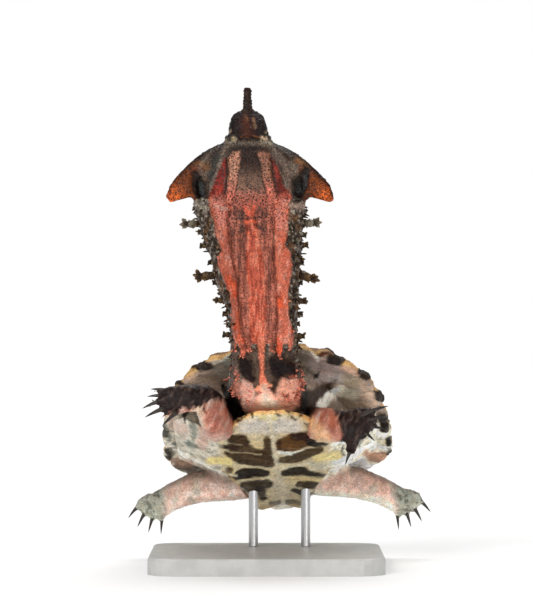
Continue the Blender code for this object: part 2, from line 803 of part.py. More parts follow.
def limb_claws(name, stations, across, count, fan, droop):
    """Claws in a fan from the end of a limb."""
    end = Vector(stations[-1][:3])
    heading = (end - Vector(stations[-2][:3])).normalized()
    wide = (across - heading * across.dot(heading)).normalized()
    claws = []
    for i, turn in enumerate(spread(-1, 1, count)):
        angle = math.radians(fan * turn)
        direction = heading * math.cos(angle) + wide * math.sin(angle)
        root = end + wide * (turn * stations[-1][3] * 0.72) - heading * (1.6 + 1.6 * turn * turn)
        claws.append(claw("%s_claw_%d" % (name, i), root, direction, droop))
    return claws


def make_limb(names, stations, across, cuts, count, fan, droop, keep_clear):
    """A limb trimmed to the body it grows from, parted at its joints, with claws."""
    limb = tube("limb_core", stations, across, tip=1.2)
    cutters = [grown(piece, piece.name + "_clear") for piece in keep_clear]
    limb = keep_largest(boolean(limb, cutters, "DIFFERENCE"))
    slits = []
    for index in cuts:
        here = Vector(stations[index][:3])
        heading = Vector(stations[index + 1][:3]) - Vector(stations[index - 1][:3])
        slits.append(slit("limb_cut_%d" % index, here, heading, 11.0))
    boolean(limb, slits, "DIFFERENCE")
    places = {}
    for name, low, high in zip(names, (1, cuts[0], cuts[1]), (cuts[0], cuts[1], len(stations) - 1)):
        a = Vector(stations[low][:3])
        b = Vector(stations[high][:3])
        places[name] = tuple((a + b) / 2)
    parts = divide(limb, places)
    claws = limb_claws(names[-1], stations, across, count, fan, droop)
    boolean(parts[-1], claws, "UNION")
    keep_largest(parts[-1])
    return parts


def make_stand(plastron):
    """A flat base with rounded corners, and two rods up to the belly plate."""
    bm = bmesh.new()
    bmesh.ops.create_cube(bm, size=1.0)
    bmesh.ops.scale(bm, vec=(BASE_LENGTH, BASE_WIDTH, BASE_HEIGHT), verts=bm.verts)
    bmesh.ops.translate(bm, vec=(0, 0, BASE_HEIGHT / 2), verts=bm.verts)
    upright = [e for e in bm.edges if abs(e.verts[0].co.z - e.verts[1].co.z) > BASE_HEIGHT / 2]
    bmesh.ops.bevel(
        bm, geom=upright, offset=BASE_CORNER, segments=6, profile=0.5, affect="EDGES", material=-1
    )
    top = [e for e in bm.edges if min(v.co.z for v in e.verts) > BASE_HEIGHT - 0.01]
    bmesh.ops.bevel(bm, geom=top, offset=1.0, segments=2, profile=0.5, affect="EDGES", material=-1)
    base = make_object("stand_base", bm)
    rods = []
    for name, side in (("stand_rod_right", -1), ("stand_rod_left", 1)):
        foot = body(ROD_AT[0], side * ROD_AT[1], 0)
        low = Vector((foot.x, foot.y, BASE_HEIGHT + GAP))
        high = Vector((foot.x, foot.y, foot.z + PLASTRON_THICK))
        sections = [
            ring(point, Vector((1, 0, 0)), Vector((0, 1, 0)), ROD_RADIUS, ROD_RADIUS, 16)
            for point in (low, high)
        ]
        rod = loft(name, sections)
        boolean(rod, [grown(plastron, "plastron_clear")], "DIFFERENCE")
        rods.append(keep_largest(rod))
    return [base] + rods


COLOURS = {
    # node name start: colour, roughness
    "carapace": ((0.62, 0.47, 0.30), 0.55), "plastron": ((0.58, 0.50, 0.30), 0.5),
    "torso": ((0.46, 0.36, 0.33), 0.6), "neck": ((0.62, 0.25, 0.20), 0.6),
    "head_flap": ((0.55, 0.25, 0.12), 0.6), "head": ((0.28, 0.22, 0.19), 0.6),
    "lower_jaw": ((0.60, 0.35, 0.30), 0.6), "snorkel": ((0.14, 0.09, 0.07), 0.6),
    "eye": ((0.02, 0.02, 0.02), 0.1), "upper_arm": ((0.62, 0.42, 0.38), 0.6),
    "forearm": ((0.18, 0.16, 0.16), 0.6), "hand": ((0.16, 0.14, 0.14), 0.6),
    "thigh": ((0.75, 0.55, 0.52), 0.6), "shank": ((0.55, 0.48, 0.45), 0.6),
    "foot": ((0.40, 0.42, 0.39), 0.6), "tail": ((0.45, 0.38, 0.35), 0.6),
    "stand_base": ((0.75, 0.75, 0.74), 0.4), "stand_rod": ((0.6, 0.6, 0.6), 0.3),
}


def finish_node(node, parent):
    """Material, smooth shading and the parent empty for one node."""
    key = max((k for k in COLOURS if node.name.startswith(k)), key=len)
    colour, roughness = COLOURS[key]
    material = bpy.data.materials.new(node.name)
    material.use_nodes = True
    shader = material.node_tree.nodes["Principled BSDF"]
    shader.inputs["Base Color"].default_value = (*colour, 1)
    shader.inputs["Roughness"].default_value = roughness
    shader.inputs["Metallic"].default_value = 1.0 if key == "stand_rod" else 0.0
    node.data.materials.clear()
    node.data.materials.append(material)
    node.data.shade_smooth()
    node.data.set_sharp_from_angle(angle=math.radians(35))
    node.parent = parent


def make_flesh(carapace, plastron):
    """Torso, neck and tail: one body, parted where the neck bends and the tail starts."""
    flesh = torso_core()
    boolean(flesh, [neck_core(), tail_core()], "UNION")
    shells = [grown(carapace, "carapace_clear"), grown(plastron, "plastron_clear")]
    boolean(flesh, shells, "DIFFERENCE")
    keep_largest(flesh)
    return flesh


def split_flesh(flesh):
    """Cut the neck lengths and the tail off the torso, and root the fringes."""
    slits = [box("neck_cut_%d" % z, (-3, -56, z), (60, 31, GAP)) for z in NECK_CUTS]
    slits.append(slit("tail_cut", body(-109, 0, 12), FORWARD, 6.0))
    boolean(flesh, slits, "DIFFERENCE")
    limits = (*NECK_CUTS, HEAD_BASE)
    places = {"torso": tuple(body(-50, 0, 12)), "tail": tuple(body(-111.5, 0, 12))}
    for name, low, high in zip(("neck_lower", "neck_middle", "neck_upper"), limits, limits[1:]):
        middle = (low + high) / 2
        x, y, _ = neck_frame(middle)
        places[name] = (x, y, middle)
    parts = {part.name: part for part in divide(flesh, places)}
    for name, low, high in zip(("neck_lower", "neck_middle", "neck_upper"), limits, limits[1:]):
        boolean(parts[name], neck_fringes(low, high), "UNION")
        keep_largest(parts[name])
    return list(parts.values())


def main():
    for piece in list(bpy.data.objects):
        bpy.data.objects.remove(piece)
    carapace, carapace_plates = make_carapace()
    plastron = keep_largest(boolean(plastron_core(), plastron_scutes(), "UNION"))
    flesh = make_flesh(carapace, plastron)
    clear = [flesh, carapace, plastron]
    nodes = []
    up = Vector((0, 0, 1))
    fore = ("upper_arm", "forearm", "hand")
    hind = ("thigh", "shank", "foot")
    down = Vector((0, -0.3, -1)).normalized()
    for side, arm, leg in (("right", ARM_RIGHT, LEG_RIGHT), ("left", ARM_LEFT, LEG_LEFT)):
        names = ["%s_%s" % (name, side) for name in fore]
        nodes += make_limb(names, arm, up, (2, 4), 5, 22, down, clear)
        names = ["%s_%s" % (name, side) for name in hind]
        lean = -1 if side == "right" else 1
        across = Vector((LEG_ACROSS[0], LEG_ACROSS[1] * lean, LEG_ACROSS[2] * lean))
        nodes += make_limb(names, leg, across, (2, 4), 4, 20, Vector((0, 0, -1)), clear)
    forearm = next(node for node in nodes if node.name == "forearm_left")
    root, tip = (Vector(point) for point in ARM_LAPPET[:2])
    drop = tip - root
    lappet = spine("lappet", root, drop, drop.length, ARM_LAPPET[2], 2.0, Vector((0, 1, 0)))
    keep_largest(boolean(forearm, [lappet], "UNION"))
    nodes += split_flesh(flesh)
    nodes += make_head()
    nodes.append(make_snorkel())
    for name, side in (("eye_right", -1), ("eye_left", 1)):
        nodes.append(ball(name, eye_centre(side), [EYE_RADIUS] * 3, 6, 10))
    nodes += make_stand(plastron)
    boolean(carapace, carapace_plates, "UNION", "MANIFOLD")
    nodes += [keep_largest(carapace), plastron]
    parent = bpy.data.objects.new("mata_mata", None)
    bpy.context.scene.collection.objects.link(parent)
    for node in nodes:
        finish_node(node, parent)


main()
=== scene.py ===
"""Mata mata turtle: the looks of a still, life-size model on a plain display stand.

Sizes are real ones in millimetres, and MM turns them into metres. The body has its
own frame: u runs from tail to head, v to the side and h from belly to back. A plan
place is X and Z as seen from in front, brought to the plane of the neck.
"""
import itertools
import math
import random

import bmesh
import bpy
import numpy as np
from bpy.props import FloatProperty, FloatVectorProperty, IntProperty, PointerProperty
from mathutils import Matrix, Vector
from mathutils.bvhtree import BVHTree


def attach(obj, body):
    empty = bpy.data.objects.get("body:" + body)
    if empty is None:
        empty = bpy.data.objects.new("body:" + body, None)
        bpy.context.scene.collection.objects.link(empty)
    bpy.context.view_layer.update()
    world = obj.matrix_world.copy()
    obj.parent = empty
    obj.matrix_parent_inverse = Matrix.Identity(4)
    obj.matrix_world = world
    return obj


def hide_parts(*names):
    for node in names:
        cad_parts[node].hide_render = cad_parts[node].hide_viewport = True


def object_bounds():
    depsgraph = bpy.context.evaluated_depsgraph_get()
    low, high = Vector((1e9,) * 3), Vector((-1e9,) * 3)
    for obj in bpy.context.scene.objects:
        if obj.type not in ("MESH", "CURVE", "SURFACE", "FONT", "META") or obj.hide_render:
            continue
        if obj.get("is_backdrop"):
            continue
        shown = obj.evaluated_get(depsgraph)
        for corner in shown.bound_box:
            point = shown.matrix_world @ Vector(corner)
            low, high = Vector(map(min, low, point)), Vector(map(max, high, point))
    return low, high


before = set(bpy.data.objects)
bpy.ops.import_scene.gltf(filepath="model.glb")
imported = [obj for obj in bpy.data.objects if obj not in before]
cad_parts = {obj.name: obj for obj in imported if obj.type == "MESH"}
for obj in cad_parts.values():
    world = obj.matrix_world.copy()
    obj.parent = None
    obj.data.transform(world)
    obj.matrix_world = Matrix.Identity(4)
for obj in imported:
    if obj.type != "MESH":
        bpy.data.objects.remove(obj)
CAD_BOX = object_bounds()

bl_info = {
    "name": "Mata mata turtle",
    "version": (1, 0, 0),
    "blender": (4, 5, 0),
    "location": "View3D > Sidebar > Turtle",
    "description": "Dresses the solids of a mata mata turtle on its display stand",
    "category": "Add Mesh",
}

MM = 0.001

# The body frame
BODY_AT = (1.8, -45.0, 65.2)
BODY_PITCH = 26.0
BODY_YAW = -3.0
BODY_ROLL = 2.75

# The view that plan places are measured from
VIEW_HEIGHT = 108.2
VIEW_DISTANCE = 1500.0
NECK_PLANE = -52.0
VIEW_LENS = 220.6

FLESH = (
    "torso", "tail", "neck_lower", "neck_middle", "neck_upper", "head", "lower_jaw",
    "head_flap_right", "head_flap_left", "snorkel",
) + tuple(
    "%s_%s" % (name, side)
    for name in ("upper_arm", "forearm", "hand", "thigh", "shank", "foot")
    for side in ("right", "left")
)
FRINGED = ("neck_lower", "neck_middle", "neck_upper")

# The neck without its lappets: x, y, z, lean from upright, half width, half depth
NECK = (
    (-0.2, -17, 67, 66, 13.0, 8.0), (-0.2, -30, 73, 64, 13.4, 8.6), (-0.2, -40, 77.5, 60, 13.2, 8.8),
    (-0.6, -47.5, 84, 38, 13.0, 8.5), (-0.9, -52, 92, 14, 13.5, 8.8),
    (-1.3, -53.8, 99, 3, 13.3, 9.2), (-1.6, -54, 107, 0, 14.2, 9.6),
    (-2.8, -54, 113, 0, 15.6, 9.8), (-4.0, -54, 120, 0, 16.9, 10.0),
    (-4.2, -53.6, 127, 0, 17.9, 10.0), (-6.0, -53, 138.5, 0, 20.3, 9.6),
    (-6.9, -52.5, 149.7, 0, 22.4, 8.2), (-6.9, -52.3, 152.5, 0, 21.4, 7.2),
)
FRINGES = (
    # height, length, width at the root, side branches
    (146.5, 2.0, 2.4, 0), (141.0, 7.8, 3.8, 3), (136.8, 2.8, 2.4, 0), (132.6, 3.6, 2.6, 1),
    (125.6, 2.4, 2.4, 0), (120.6, 8.4, 4.4, 4), (117.2, 2.6, 2.2, 0), (110.4, 4.4, 3.0, 2),
    (104.4, 3.2, 2.6, 1), (100.6, 2.2, 2.2, 0), (96.6, 4.2, 2.8, 1),
)

# Each hind foot: its ankle, the ball of the foot and the direction across
FEET = (
    ((-49.4, 55, 21), (-51.2, 56.5, 17.2), (1, -0.1, -0.35)),
    ((60.4, 55, 23.2), (62.4, 56.5, 19.4), (1, 0.1, 0.35)),
)
FOOT_CLAWS = 4
FOOT_CLAW_LENGTH = 7.4
FOOT_FAN = 20
FOOT_HALF = 7.4
HAND_CLAWS = (
    # root and tip
    ((-39.6, -57.4, 74.4), (-46.2, -59.4, 76.2)), ((-42.2, -58.8, 70.4), (-49.4, -61.0, 68.6)),
    ((-40.8, -59.6, 67.4), (-48.4, -62.6, 65.2)), ((-35.8, -60.4, 65.8), (-41.4, -64.0, 61.8)),
    ((-41.4, -55.6, 72.4), (-47.6, -55.0, 73.0)),
    ((37.6, -66.6, 64.6), (48.2, -71.4, 70.8)), ((40.0, -68.4, 62.6), (46.8, -73.2, 66.0)),
    ((40.4, -68.4, 60.6), (46.0, -73.4, 60.8)), ((38.4, -66.4, 58.6), (42.6, -71.0, 56.0)),
    ((33.2, -56.2, 49.8), (31.4, -58.0, 45.8)),
)
CLAW_RADIUS = 1.0

# How far the flesh swells before it is merged, and draws back after
SWELL = 0.25

EYE_RADIUS = 1.35
EYE_PLACES = ((-15.4, -49.6, 175.4), (0.6, -49.6, 175.4))


def body_axes():
    """The body's forward, side and dorsal directions in the world."""
    pitch = math.radians(BODY_PITCH)
    yaw = Matrix.Rotation(math.radians(BODY_YAW), 3, "Z")
    forward = yaw @ Vector((0, -math.cos(pitch), math.sin(pitch)))
    side = Matrix.Rotation(math.radians(BODY_ROLL), 3, forward) @ (yaw @ Vector((1, 0, 0)))
    return np.array((forward, side, forward.cross(side)))


AXES = body_axes()


# ---- numbers and patterns ----


def srgb(red, green, blue):
    """A colour as the eye names it, turned to the linear one that shaders use."""
    value = np.array((red, green, blue), float)
    return np.where(value <= 0.04045, value / 12.92, ((value + 0.055) / 1.055) ** 2.4)


def step(low, high, value):
    """A smooth step from 0 at low to 1 at high."""
    t = np.clip((value - low) / (high - low), 0, 1)
    return t * t * (3 - 2 * t)


def table(pairs, s):
    """The value at s in a table of station and value, straight between them."""
    ordered = sorted(pairs)
    return np.interp(s, [p[0] for p in ordered], [p[1] for p in ordered])


def scatter(cell, salt):
    """A number from 0 to 1 for each lattice cell, the same in each run."""
    mixed = (cell[:, 0] * 73856093) ^ (cell[:, 1] * 19349663) ^ (cell[:, 2] * 83492791)
    mixed = (mixed ^ (salt * 40503 + 977)) & 0xFFFFFFFF
    for _ in range(2):
        mixed = ((mixed ^ (mixed >> 16)) * 0x45D9F3B) & 0xFFFFFFFF
    return ((mixed ^ (mixed >> 16)) & 0xFFFFFF) / 0xFFFFFF


def clouds(places, size, salt=0, octaves=2):
    """Soft noise from -1 to 1 whose lumps are about as wide as size."""
    total = 0.0
    weight = 1.0
    whole = 0.0
    for octave in range(octaves):
        scaled = places / np.asarray(size) * 2**octave + 64
        base = np.floor(scaled).astype(np.int64)
        part = scaled - base
        part = part * part * (3 - 2 * part)
        value = 0.0
        for corner in itertools.product((0, 1), repeat=3):
            share = np.prod(np.where(corner, part, 1 - part), axis=1)
            value = value + share * scatter(base + corner, salt + octave)
        total = total + weight * (2 * value - 1)
        whole += weight
        weight *= 0.5
    return total / whole * 1.6


def cells(places, size, salt=0, jitter=0.85):
    """Distance to the nearest and the next scattered point, in sizes, and its own number."""
    scaled = places / np.asarray(size) + 64
    base = np.floor(scaled).astype(np.int64)
    first = np.full(len(places), 9.0)
    second = np.full(len(places), 9.0)
    tag = np.zeros(len(places))
    for offset in itertools.product((-1, 0, 1), repeat=3):
        cell = base + offset
        spot = np.stack([scatter(cell, salt + k) - 0.5 for k in range(3)], 1)
        gap = np.linalg.norm(scaled - (cell + 0.5 + jitter * spot), axis=1)
        nearer = gap < first
        second = np.where(nearer, first, np.minimum(second, gap))
        tag = np.where(nearer, scatter(cell, salt + 7), tag)
        first = np.where(nearer, gap, first)
    return first, second, tag


def plan(places):
    """X and Z of each place as seen from in front, in the plane of the neck."""
    scale = 1 + (places[:, 1] - NECK_PLANE) / VIEW_DISTANCE
    return places[:, 0] / scale, VIEW_HEIGHT + (places[:, 2] - VIEW_HEIGHT) / scale


def stroke(x, z, path, soft=0.5):
    """A mask along a path of x, z and half width, with a soft edge."""
    mask = np.zeros(len(x))
    points = list(path) if len(path) > 1 else [path[0], path[0]]
    for (ax, az, ar), (bx, bz, br) in zip(points, points[1:]):
        dx, dz = bx - ax, bz - az
        length = max(dx * dx + dz * dz, 1e-9)
        t = np.clip(((x - ax) * dx + (z - az) * dz) / length, 0, 1)
        gap = np.hypot(x - ax - t * dx, z - az - t * dz) - (ar + t * (br - ar))
        mask = np.maximum(mask, 1 - step(-soft, soft, gap))
    return mask


def between(value, low, high, soft=0.4):
    """A mask that is 1 between two edges and softens at each."""
    return step(-soft, soft, value - low) * (1 - step(-soft, soft, value - high))


def blend(base, over, mask):
    """One colour over another where the mask says."""
    return base + (np.asarray(over) - base) * np.asarray(mask)[:, None]


def hump(offset, width):
    """A rounded mask that is 1 where the offset is 0 and fades over a width."""
    return np.exp(-((offset / width) ** 2))


def grade(tint, depth, normals=None):
    """The albedo that shows a tint in the studio's light, with painted light: paler where it faces down, against the
    shade there.
    """
    tint = np.maximum(tint - 0.01, 0.2 * tint) * depth
    if normals is None:
        return tint
    # painted light: what faces down is made up to 40 % paler, to make up for the shade that falls on it
    return np.minimum(tint * (1 + 0.4 * step(0.1, 0.9, -normals[:, 2]))[:, None], 0.95)


def lay(base, *coats):
    """Tones over a tone or a colour in turn, each where its mask says."""
    colour = srgb(*base) if isinstance(base, tuple) else base
    for tone, mask in coats:
        colour = blend(colour, srgb(*tone), mask)
    return colour


def dress(colour, x, z, marks, weight=1.0):
    """Lay marks over a colour in turn: a tone, its strength, softness and path each."""
    for tone, strength, soft, *path in marks:
        colour = blend(colour, srgb(*tone), strength * weight * stroke(x, z, path, soft))
    return colour


# ---- meshes ----


def read(mesh, what="vertices", name="co"):
    values = np.empty(len(getattr(mesh, what)) * 3, np.float32)
    getattr(mesh, what).foreach_get(name, values)
    return values.reshape(-1, 3).astype(float)


def write(mesh, places):
    mesh.vertices.foreach_set("co", (places * MM).astype(np.float32).ravel())
    mesh.update()


def paint(mesh, name, values):
    """Keep three numbers for each vertex under a name that a material reads."""
    colours = np.ones((len(mesh.vertices), 4), np.float32)
    colours[:, :3] = np.clip(values, 0, 1)
    layer = mesh.attributes.new(name, "FLOAT_COLOR", "POINT")
    layer.data.foreach_set("color", colours.ravel())


def show(name, mesh, finish, replaced=()):
    """A finished piece: its object, material, ride, slot and the nodes it stands for."""
    mesh.materials.clear()
    mesh.materials.append(finish)
    mesh.shade_smooth()
    piece = bpy.data.objects.new(name, mesh)
    bpy.context.scene.collection.objects.link(piece)
    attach(piece, "root")
    if replaced:
        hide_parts(*replaced)
    return piece


def relax(values, edges, share, rounds, mask=None):
    """Draw each vertex's values towards its neighbours' mean."""
    count = np.bincount(edges.ravel(), minlength=len(values)).clip(1)[:, None]
    pull = share if mask is None else share * mask[:, None]
    for _ in range(rounds):
        total = np.stack([
            np.bincount(edges[:, 0], values[edges[:, 1], k], len(values))
            + np.bincount(edges[:, 1], values[edges[:, 0], k], len(values))
            for k in range(values.shape[1])
        ], 1)
        values = values + pull * (total / count - values)
    return values


def edge_pairs(mesh):
    pairs = np.empty(len(mesh.edges) * 2, np.int32)
    mesh.edges.foreach_get("vertices", pairs)
    return pairs.reshape(-1, 2)


def merged_copy(names, swell):
    """Copies of CAD nodes in one bmesh, doubles merged, each grown a little all round."""
    whole = bmesh.new()
    for name in names:
        part = bmesh.new()
        part.from_mesh(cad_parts[name].data)
        bmesh.ops.remove_doubles(part, verts=part.verts, dist=1e-6)
        part.normal_update()
        for vert in part.verts:
            vert.co += vert.normal * (swell * MM * min(vert.calc_shell_factor(), 1.5))
        loose = bpy.data.meshes.new(name + "_copy")
        part.to_mesh(loose)
        part.free()
        whole.from_mesh(loose)
        bpy.data.meshes.remove(loose)
    return whole


def apply_modifiers(mesh, settings):
    """A mesh put through modifiers of the given kinds and settings."""
    carrier = bpy.data.objects.new("carrier", mesh)
    bpy.context.scene.collection.objects.link(carrier)
    for kind, values, weights in settings:
        modifier = carrier.modifiers.new(kind.title(), kind)
        for key, value in values.items():
            setattr(modifier, key, value)
        if weights is not None:
            group = carrier.vertex_groups.new(name="weights")
            for index in np.nonzero(weights > 0.5)[0]:
                group.add([int(index)], 1.0, "REPLACE")
            modifier.vertex_group = "weights"
    evaluated = carrier.evaluated_get(bpy.context.evaluated_depsgraph_get())
    made = bpy.data.meshes.new_from_object(evaluated)
    bpy.data.objects.remove(carrier)
    return made


def remesh(bm, voxel):
    """One closed even mesh round everything in a bmesh."""
    rough = bpy.data.meshes.new("rough")
    bm.to_mesh(rough)
    bm.free()
    return apply_modifiers(rough, [("REMESH", {"mode": "VOXEL", "voxel_size": voxel * MM}, None)])


def unit_blade(sides, cuts):
    """A cone of unit length and radius with even rings, to be bent into place."""
    bm = bmesh.new()
    bmesh.ops.create_cone(
        bm, cap_ends=True, segments=sides, radius1=1.0, radius2=0.5, depth=1.0,
        matrix=Matrix.Translation((0, 0, 0.5)),
    )
    long_edges = [e for e in bm.edges if abs(e.verts[0].co.z - e.verts[1].co.z) > 0.5]
    bmesh.ops.subdivide_edges(bm, edges=long_edges, cuts=cuts, use_grid_fill=True)
    bmesh.ops.recalc_face_normals(bm, faces=bm.faces)
    mesh = bpy.data.meshes.new("unit")
    bm.to_mesh(mesh)
    bm.free()
    return mesh


class Growth:
    """Many blades in one mesh: each is the unit blade laid along its own curve."""

    def __init__(self, sides=8, cuts=4):
        self.unit = unit_blade(sides, cuts)
        unit = read(self.unit)
        self.s = unit[:, 2]
        self.round = unit[:, :2] / (1 - 0.5 * self.s)[:, None]
        self.bm = bmesh.new()
        self.places = []
        self.tints = []

    def add(self, root, heading, facing, length, wide, thick, tint, profile, bend=None):
        """A blade from root along heading. profile gives the width at each share of it."""
        heading = np.asarray(heading, float)
        heading = heading / np.linalg.norm(heading)
        across = np.cross(heading, facing)
        across = across / np.linalg.norm(across)
        deep = np.cross(across, heading)
        s = self.s[:, None]
        centre = np.asarray(root, float) + heading * (length * s)
        if bend is not None:
            centre = centre + np.asarray(bend, float) * (length * s**2)
        scale = np.asarray(profile(self.s))[:, None]
        spot = centre + scale * (
            across * (wide * self.round[:, :1]) + deep * (thick * self.round[:, 1:])
        )
        self.bm.from_mesh(self.unit)
        self.places.append(spot)
        self.tints.append(tint(self.s) if callable(tint) else np.tile(tint, (len(spot), 1)))

    def finish(self, name):
        mesh = bpy.data.meshes.new(name)
        self.bm.to_mesh(mesh)
        self.bm.free()
        write(mesh, np.concatenate(self.places))
        paint(mesh, "Tint", np.concatenate(self.tints))
        return mesh


# ---- materials ----


class Finish:
    """A material under construction: nodes are added in the order that they are read."""

    def __init__(self, name):
        self.made = bpy.data.materials.new(name)
        self.made.use_nodes = True
        self.tree = self.made.node_tree
        self.shader = self.tree.nodes["Principled BSDF"]
        self.coords = self.add("ShaderNodeTexCoord").outputs["Object"]

    def add(self, kind, inputs=None, **settings):
        node = self.tree.nodes.new(kind)
        for key, value in settings.items():
            setattr(node, key, value)
        for key, value in (inputs or {}).items():
            if isinstance(value, bpy.types.NodeSocket):
                self.tree.links.new(value, node.inputs[key])
            else:
                node.inputs[key].default_value = value
        return node

    def noise(self, size, detail=3.0, stretch=(1, 1, 1), roughness=0.55):
        """Noise whose lumps are about as wide as size, in millimetres."""
        scale = [value / (size * MM) for value in stretch]
        place = self.add("ShaderNodeMapping", {"Vector": self.coords, "Scale": scale})
        inputs = {"Vector": place.outputs[0], "Scale": 1.0, "Detail": detail, "Roughness": roughness}
        return self.add("ShaderNodeTexNoise", inputs).outputs["Fac"]

    def dots(self, size, kind="F1"):
        inputs = {"Vector": self.coords, "Scale": 1 / (size * MM)}
        return self.add("ShaderNodeTexVoronoi", inputs, feature=kind).outputs["Distance"]

    def ramp(self, value, low, high, first=0.0, last=1.0):
        """A smooth step of a value between two others."""
        inputs = {"Value": value, "From Min": low, "From Max": high, "To Min": first, "To Max": last}
        return self.add("ShaderNodeMapRange", inputs, interpolation_type="SMOOTHSTEP").outputs[0]

    def maths(self, operation, a, b):
        node = self.add("ShaderNodeMath", operation=operation)
        for socket, value in zip(node.inputs, (a, b)):
            if isinstance(value, bpy.types.NodeSocket):
                self.tree.links.new(value, socket)
            else:
                socket.default_value = value
        return node.outputs[0]

    def mix(self, factor, a, b, mode="MIX"):
        node = self.add("ShaderNodeMix", data_type="RGBA", blend_type=mode)
        for index, value in ((0, factor), (6, a), (7, b)):
            socket = node.inputs[index]
            if isinstance(value, bpy.types.NodeSocket):
                self.tree.links.new(value, socket)
            elif index == 0:
                socket.default_value = value
            else:
                socket.default_value = (*value, 1)
        return node.outputs[2]

    def read(self, name):
        return self.add("ShaderNodeAttribute", attribute_name=name).outputs["Color"]

    def split(self, colour):
        return self.add("ShaderNodeSeparateColor", {"Color": colour}).outputs

    def bump(self, height, strength, distance, under=None):
        inputs = {"Height": height, "Strength": strength, "Distance": distance * MM}
        if under is not None:
            inputs["Normal"] = under
        return self.add("ShaderNodeBump", inputs).outputs[0]

    def set(self, **inputs):
        for key, value in inputs.items():
            socket = self.shader.inputs[key.replace("_", " ")]
            if isinstance(value, bpy.types.NodeSocket):
                self.tree.links.new(value, socket)
            else:
                socket.default_value = value
        return self.made


def shade_of(finish, tint, amount=0.3, size=0.6):
    """A colour with fine lighter and darker grain in it, warmer here and cooler there."""
    fine = finish.ramp(finish.noise(size, 5.0, roughness=0.7), 0.34, 0.66, 1 - amount, 1 + amount)
    broad = finish.ramp(finish.noise(size * 5, 4.0), 0.32, 0.68, 1 - amount * 0.6, 1 + amount * 0.6)
    both = finish.maths("MULTIPLY", fine, broad)
    warm = finish.ramp(finish.noise(size * 3.1, 3.0), 0.35, 0.65, -0.15 * amount, 0.15 * amount)
    red = finish.maths("MULTIPLY", both, finish.maths("ADD", warm, 1.0))
    blue = finish.maths("MULTIPLY", both, finish.maths("SUBTRACT", 1.0, warm))
    grain = finish.add("ShaderNodeCombineColor", {"Red": red, "Green": both, "Blue": blue}).outputs[0]
    return finish.mix(1.0, tint, grain, "MULTIPLY")


def skin_finish(name):
    """Wet granular skin: fine dark dots where the marks say, knobs with painted light and shade, and a soft sheen."""
    finish = Finish(name)
    marks = finish.split(finish.read("Marks"))
    tint = shade_of(finish, finish.read("Tint"))
    knobs = finish.dots(0.75, "SMOOTH_F1")
    # painted light and shade: knob tops paler and the gaps between them darker, following the bump
    knob_light_shade = finish.ramp(knobs, 0.12, 0.62, 1.28, 0.62)
    grey = finish.add("ShaderNodeCombineColor", {"Red": knob_light_shade, "Green": knob_light_shade, "Blue": knob_light_shade}).outputs[0]
    tint = finish.mix(marks[1], tint, finish.mix(1.0, tint, grey, "MULTIPLY"))
    wander = finish.noise(1.0, 2.0)
    dot = finish.maths("SUBTRACT", finish.dots(0.84), finish.maths("MULTIPLY", wander, 0.3))
    dots = finish.maths("MULTIPLY", finish.ramp(dot, 0.08, 0.33, 1.0, 0.0), marks[0])
    colour = finish.mix(dots, tint, tuple(srgb(0.11, 0.065, 0.05)))
    grain = finish.noise(0.45, 4.0)
    rough = finish.ramp(finish.noise(2.0, 3.0), 0.3, 0.7, 0.26, 0.5)
    small = finish.bump(grain, 0.5, 0.16)
    normal = finish.bump(finish.maths("MULTIPLY", knobs, marks[1]), 1.0, -0.35, small)
    return finish.set(
        Base_Color=colour, Roughness=rough, Normal=normal, Specular_IOR_Level=0.17,
        Subsurface_Weight=0.05, Subsurface_Scale=0.001,
    )


def horn_finish(name):
    """Shell plates: layered horn with fine growth lines and streaks."""
    finish = Finish(name)
    marks = finish.split(finish.read("Marks"))
    tint = shade_of(finish, finish.read("Tint"), 0.26, 0.8)
    scratch = finish.noise(0.7, 5.0, (1.0, 0.35, 1.6))
    stain = finish.ramp(finish.noise(3.5, 5.0, roughness=0.65), 0.45, 0.75, 0.0, 0.45)
    colour = finish.mix(finish.maths("MULTIPLY", stain, marks[0]), tint, tuple(srgb(0.2, 0.15, 0.1)))
    fleck = finish.ramp(finish.noise(0.5, 3.0, (1.0, 0.5, 1.5), 0.7), 0.62, 0.74, 0.0, 0.6)
    colour = finish.mix(finish.maths("MULTIPLY", fleck, marks[1]), colour, tuple(srgb(0.16, 0.13, 0.1)))
    rough = finish.ramp(scratch, 0.3, 0.75, 0.34, 0.62)
    small = finish.bump(scratch, 0.45, 0.2)
    normal = finish.bump(finish.noise(1.6, 3.0), 0.35, 0.35, small)
    return finish.set(
        Base_Color=colour, Roughness=rough, Normal=normal, Specular_IOR_Level=0.15,
    )


def claw_finish():
    finish = Finish("claw_horn")
    tint = shade_of(finish, finish.read("Tint"), 0.25, 0.5)
    streak = finish.noise(0.5, 3.0, (0.4, 0.4, 1.5))
    rough = finish.ramp(streak, 0.3, 0.7, 0.22, 0.42)
    return finish.set(Base_Color=tint, Roughness=rough, Normal=finish.bump(streak, 0.3, 0.1))


# ---- the skin ----

